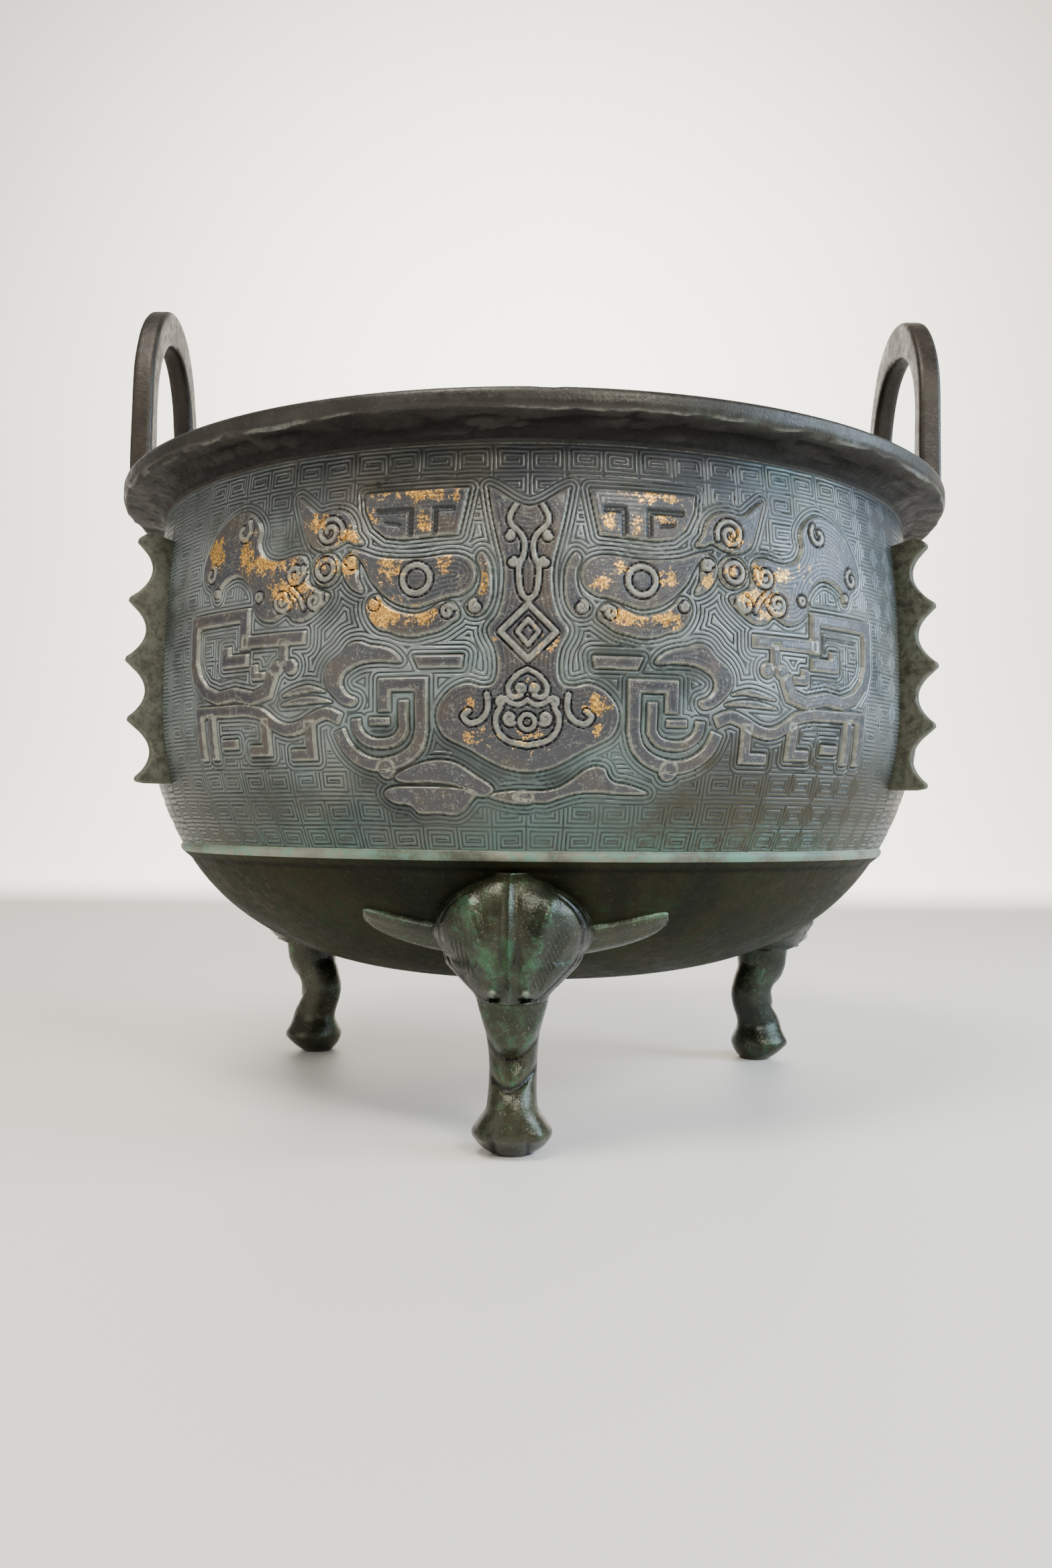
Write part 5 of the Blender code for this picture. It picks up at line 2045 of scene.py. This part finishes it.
    @staticmethod
    def limb(x: Array, z: float) -> Array:
        """How far the knee and the toes stand out of the limb's round form.

        Args:
            x: Sideways places, in millimetres.
            z: Height, in millimetres.

        Returns:
            The lift, in millimetres.
        """
        side = np.abs(x)
        upper = z - (27.0 + 0.13 * side ** 2)
        lower = z - (19.6 + 0.11 * side ** 2 + 0.12 * x)
        knee = 0.9 * (hump(upper, 3.0, 2.6) - hump(upper, -0.7, 0.8))
        calf = 0.7 * hump(lower, 2.6, 2.2) - hump(lower, -0.9, 1.1)
        toes = -hump(side, 4.6, 0.8) * float(fade(8.0, 4.0, np.array(z)))
        lobe = 0.9 * hump(side, 8.0, 2.2) * hump(z, 6.6, 3.0)
        return knee + calf + toes + lobe

    def ear(self, side: int, cavity: bmesh.types.BMLayerItem) -> tuple:
        """Rings of an ear that lies on the underbody, its upper edge proud.

        Args:
            side: 1 or -1, for the two ears.
            cavity: Layer that takes the ear's painted highlight and shade.

        Returns:
            Rings of points, the layer and its values.
        """
        root = 0.86 * self.head_half_width
        reach = self.head_half_width + self.ear_length - root
        end = 0.88 + 0.12 * np.sin(np.linspace(0.1, 1.0, 12) * 0.5 * math.pi)
        shares = np.concatenate([np.linspace(0.0, 0.88, 40), end])
        taper = np.array([(0.0, 1.05), (0.3, 1.0), (0.6, 0.93), (0.85, 0.78), (0.96, 0.56), (1.0, 0.26)])
        widths = self.blend(shares, taper[:, 0], taper[:, 1])
        angle = 2.0 * math.pi * np.arange(self.ear_sides) / self.ear_sides
        high = np.cos(angle)
        rings = []
        step = 0.5 * MM
        for share, width in zip(shares, widths):
            height = self.ear_height + self.ear_rise * share ** 1.3
            radius = float(FORM.underbody_radius(height))
            slope = (float(FORM.underbody_radius(height + step)) - radius) / step
            turn = side * (root + reach * share) / radius
            out = np.array([math.cos(turn), math.sin(turn), 0.0])
            up = out * slope + np.array([0.0, 0.0, 1.0])
            up /= np.linalg.norm(up)
            normal = np.cross(np.array([-math.sin(turn), math.cos(turn), 0.0]), up)
            centre = out * radius + np.array([0.0, 0.0, height]) - normal * self.ear_sunk
            lift = (self.ear_proud + self.ear_sunk) * np.sin(angle) * max(float(width), 0.5)
            dish = -self.ear_dish * hump(high, 0.35, 0.35) * (np.sin(angle) > 0.0) * width
            lift = lift + self.ear_tilt * width * high + dish
            upwards = self.ear_half_width * width * high
            rings.append(centre + up * upwards[:, None] + normal * lift[:, None])
        # Painted highlight along the ear's upper edge, and slight painted shade over the rest of the ear.
        marks = 2.2 * hump(high, 0.96, 0.10) - 0.25
        return np.array(rings), cavity, np.tile(marks, (len(rings), 1))

    @staticmethod
    def loft(bm: bmesh.types.BMesh, rings: Array, layer: bmesh.types.BMLayerItem, marks: Array) -> None:
        """Joins rings of points by faces and closes both ends.

        Args:
            bm: Mesh that takes the faces.
            rings: Rings of as many points each.
            layer: Layer that takes a value for each point.
            marks: The values.
        """
        verts = [[bm.verts.new(p) for p in line] for line in rings]
        for line, values in zip(verts, marks):
            for vert, value in zip(line, values):
                vert[layer] = float(value)
        count = len(verts[0])
        for low, high in zip(verts[:-1], verts[1:]):
            for i in range(count):
                j = (i + 1) % count
                bm.faces.new((low[i], low[j], high[j], high[i]))
        bm.faces.new(verts[0][::-1])
        bm.faces.new(verts[-1])


@dataclass(frozen=True)
class Studio:
    """Pale floor, soft lights and the camera at the photograph's angle."""

    image_height: float = 2337.0
    focal_pixels: float = 1880.0
    camera_distance: float = 0.4491
    camera_side: float = 0.0039
    camera_height: float = 0.0911
    pitch: float = 0.0296
    yaw: float = 0.0128
    roll: float = math.radians(0.55)

    def build(self) -> None:
        """Makes the backdrop, the world, the lights and the camera."""
        self.backdrop()
        self.world()
        self.area("ceiling", (-0.25, -0.55, 1.15), (0.0, 0.0, 0.12), 0.45, 15.0, (1.0, 0.96, 0.90))
        self.area("window", (1.05, -0.20, 0.55), (0.0, 0.0, 0.14), 0.7, 20.0, (0.62, 0.80, 1.0))
        self.area("backdrop_light", (0.0, 1.3, 1.4), (0.0, 3.0, 0.9), 1.6, 210.0, (1.0, 0.965, 0.90))
        self.area("fill", (-0.9, -0.7, 0.35), (0.0, 0.0, 0.10), 0.8, 3.0, (1.0, 0.96, 0.90))
        self.area("lamp", (0.45, -1.00, 0.75), (0.0, 0.0, 0.08), 0.22, 8.0, (1.0, 0.97, 0.88))
        self.camera()

    def backdrop(self) -> None:
        """Floor that curves up into a wall far behind."""
        Bench.clear()
        bpy.ops.mesh.primitive_plane_add(size=6.0, location=(0.0, 0.0, 0.0))
        floor = bpy.context.object
        floor.name = "floor"
        bpy.ops.object.mode_set(mode='EDIT')
        mesh = bmesh.from_edit_mesh(floor.data)
        for edge in mesh.edges:
            edge.select_set(all(v.co.y > 2.9 for v in edge.verts))
        bmesh.update_edit_mesh(floor.data)
        bpy.ops.mesh.extrude_edges_move(TRANSFORM_OT_translate={"value": (0.0, 0.0, 4.0)})
        bpy.ops.object.mode_set(mode='OBJECT')
        Bench.apply(floor, 'BEVEL', width=1.2, segments=12, limit_method='ANGLE')
        Bench.pick(floor)
        bpy.ops.object.shade_smooth()
        nodes = Nodes("pale_floor")
        tone = nodes.mix(nodes.noise(3.0, 2.0), (0.80, 0.765, 0.71), (0.83, 0.795, 0.74))
        nodes.link(tone, nodes.shader.inputs["Base Color"])
        nodes.shader.inputs["Roughness"].default_value = 0.55
        floor.data.materials.append(nodes.material)

    def world(self) -> None:
        """Soft pale surroundings."""
        world = bpy.data.worlds.new("studio")
        world.use_nodes = True
        background = world.node_tree.nodes["Background"]
        background.inputs["Color"].default_value = (0.90, 0.87, 0.82, 1.0)
        background.inputs["Strength"].default_value = 0.42
        bpy.context.scene.world = world

    def area(self, name: str, place: Place, aim: Place, size: float, power: float,
             colour: Colour) -> None:
        """Adds a square soft light.

        Args:
            name: The light's name.
            place: Where it stands.
            aim: What it points at.
            size: Its side, in metres.
            power: Its power, in watts.
            colour: Its colour.
        """
        data = bpy.data.lights.new(name, 'AREA')
        data.size = size
        data.energy = power
        data.color = colour
        light = bpy.data.objects.new(name, data)
        light.location = place
        light.rotation_euler = (Vector(aim) - Vector(place)).to_track_quat('-Z', 'Y').to_euler()
        bpy.context.scene.collection.objects.link(light)

    def camera(self) -> None:
        """Adds the camera, low in front of the censer and turned slightly up."""
        data = bpy.data.cameras.new("view")
        data.sensor_width = 36.0
        data.lens = self.focal_pixels / self.image_height * data.sensor_width
        data.clip_start = 0.01
        data.clip_end = 50.0
        camera = bpy.data.objects.new("view", data)
        camera.location = (self.camera_side, -self.camera_distance, self.camera_height)
        turn = Matrix.Rotation(self.yaw, 3, 'Z') @ Matrix.Rotation(0.5 * math.pi + self.pitch, 3, 'X')
        turn = turn @ Matrix.Rotation(self.roll, 3, 'Z')
        camera.rotation_euler = turn.to_euler()
        bpy.context.scene.collection.objects.link(camera)
        bpy.context.scene.camera = camera


@dataclass
class Censer:
    """The whole casting."""

    leg_count: int = 3
    leg_turn: float = math.radians(-2.0)
    mask_count: int = 3

    def build(self) -> None:
        """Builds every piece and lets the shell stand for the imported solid."""
        shell = Shell().build()
        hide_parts(NODE)
        ReliefWall().build()
        Handle().build(1, "handle_right")
        Handle(half_width=28.5 * MM, rise=73.2 * MM).build(-1, "handle_left")
        for i in range(self.mask_count):
            Flange().build(FRONT + (i + 0.5) * 2.0 * math.pi / self.mask_count, f"flange_{i}")
        for i in range(self.leg_count):
            azimuth = FRONT + self.leg_turn + i * 2.0 * math.pi / self.leg_count
            Leg().build(azimuth, f"leg_{i}", i == 0)


def main() -> None:
    """Builds the censer and its studio."""
    logging.basicConfig(level=logging.INFO, format="%(message)s")
    Censer().build()
    Studio().build()


if __name__ == "__main__":
    main()
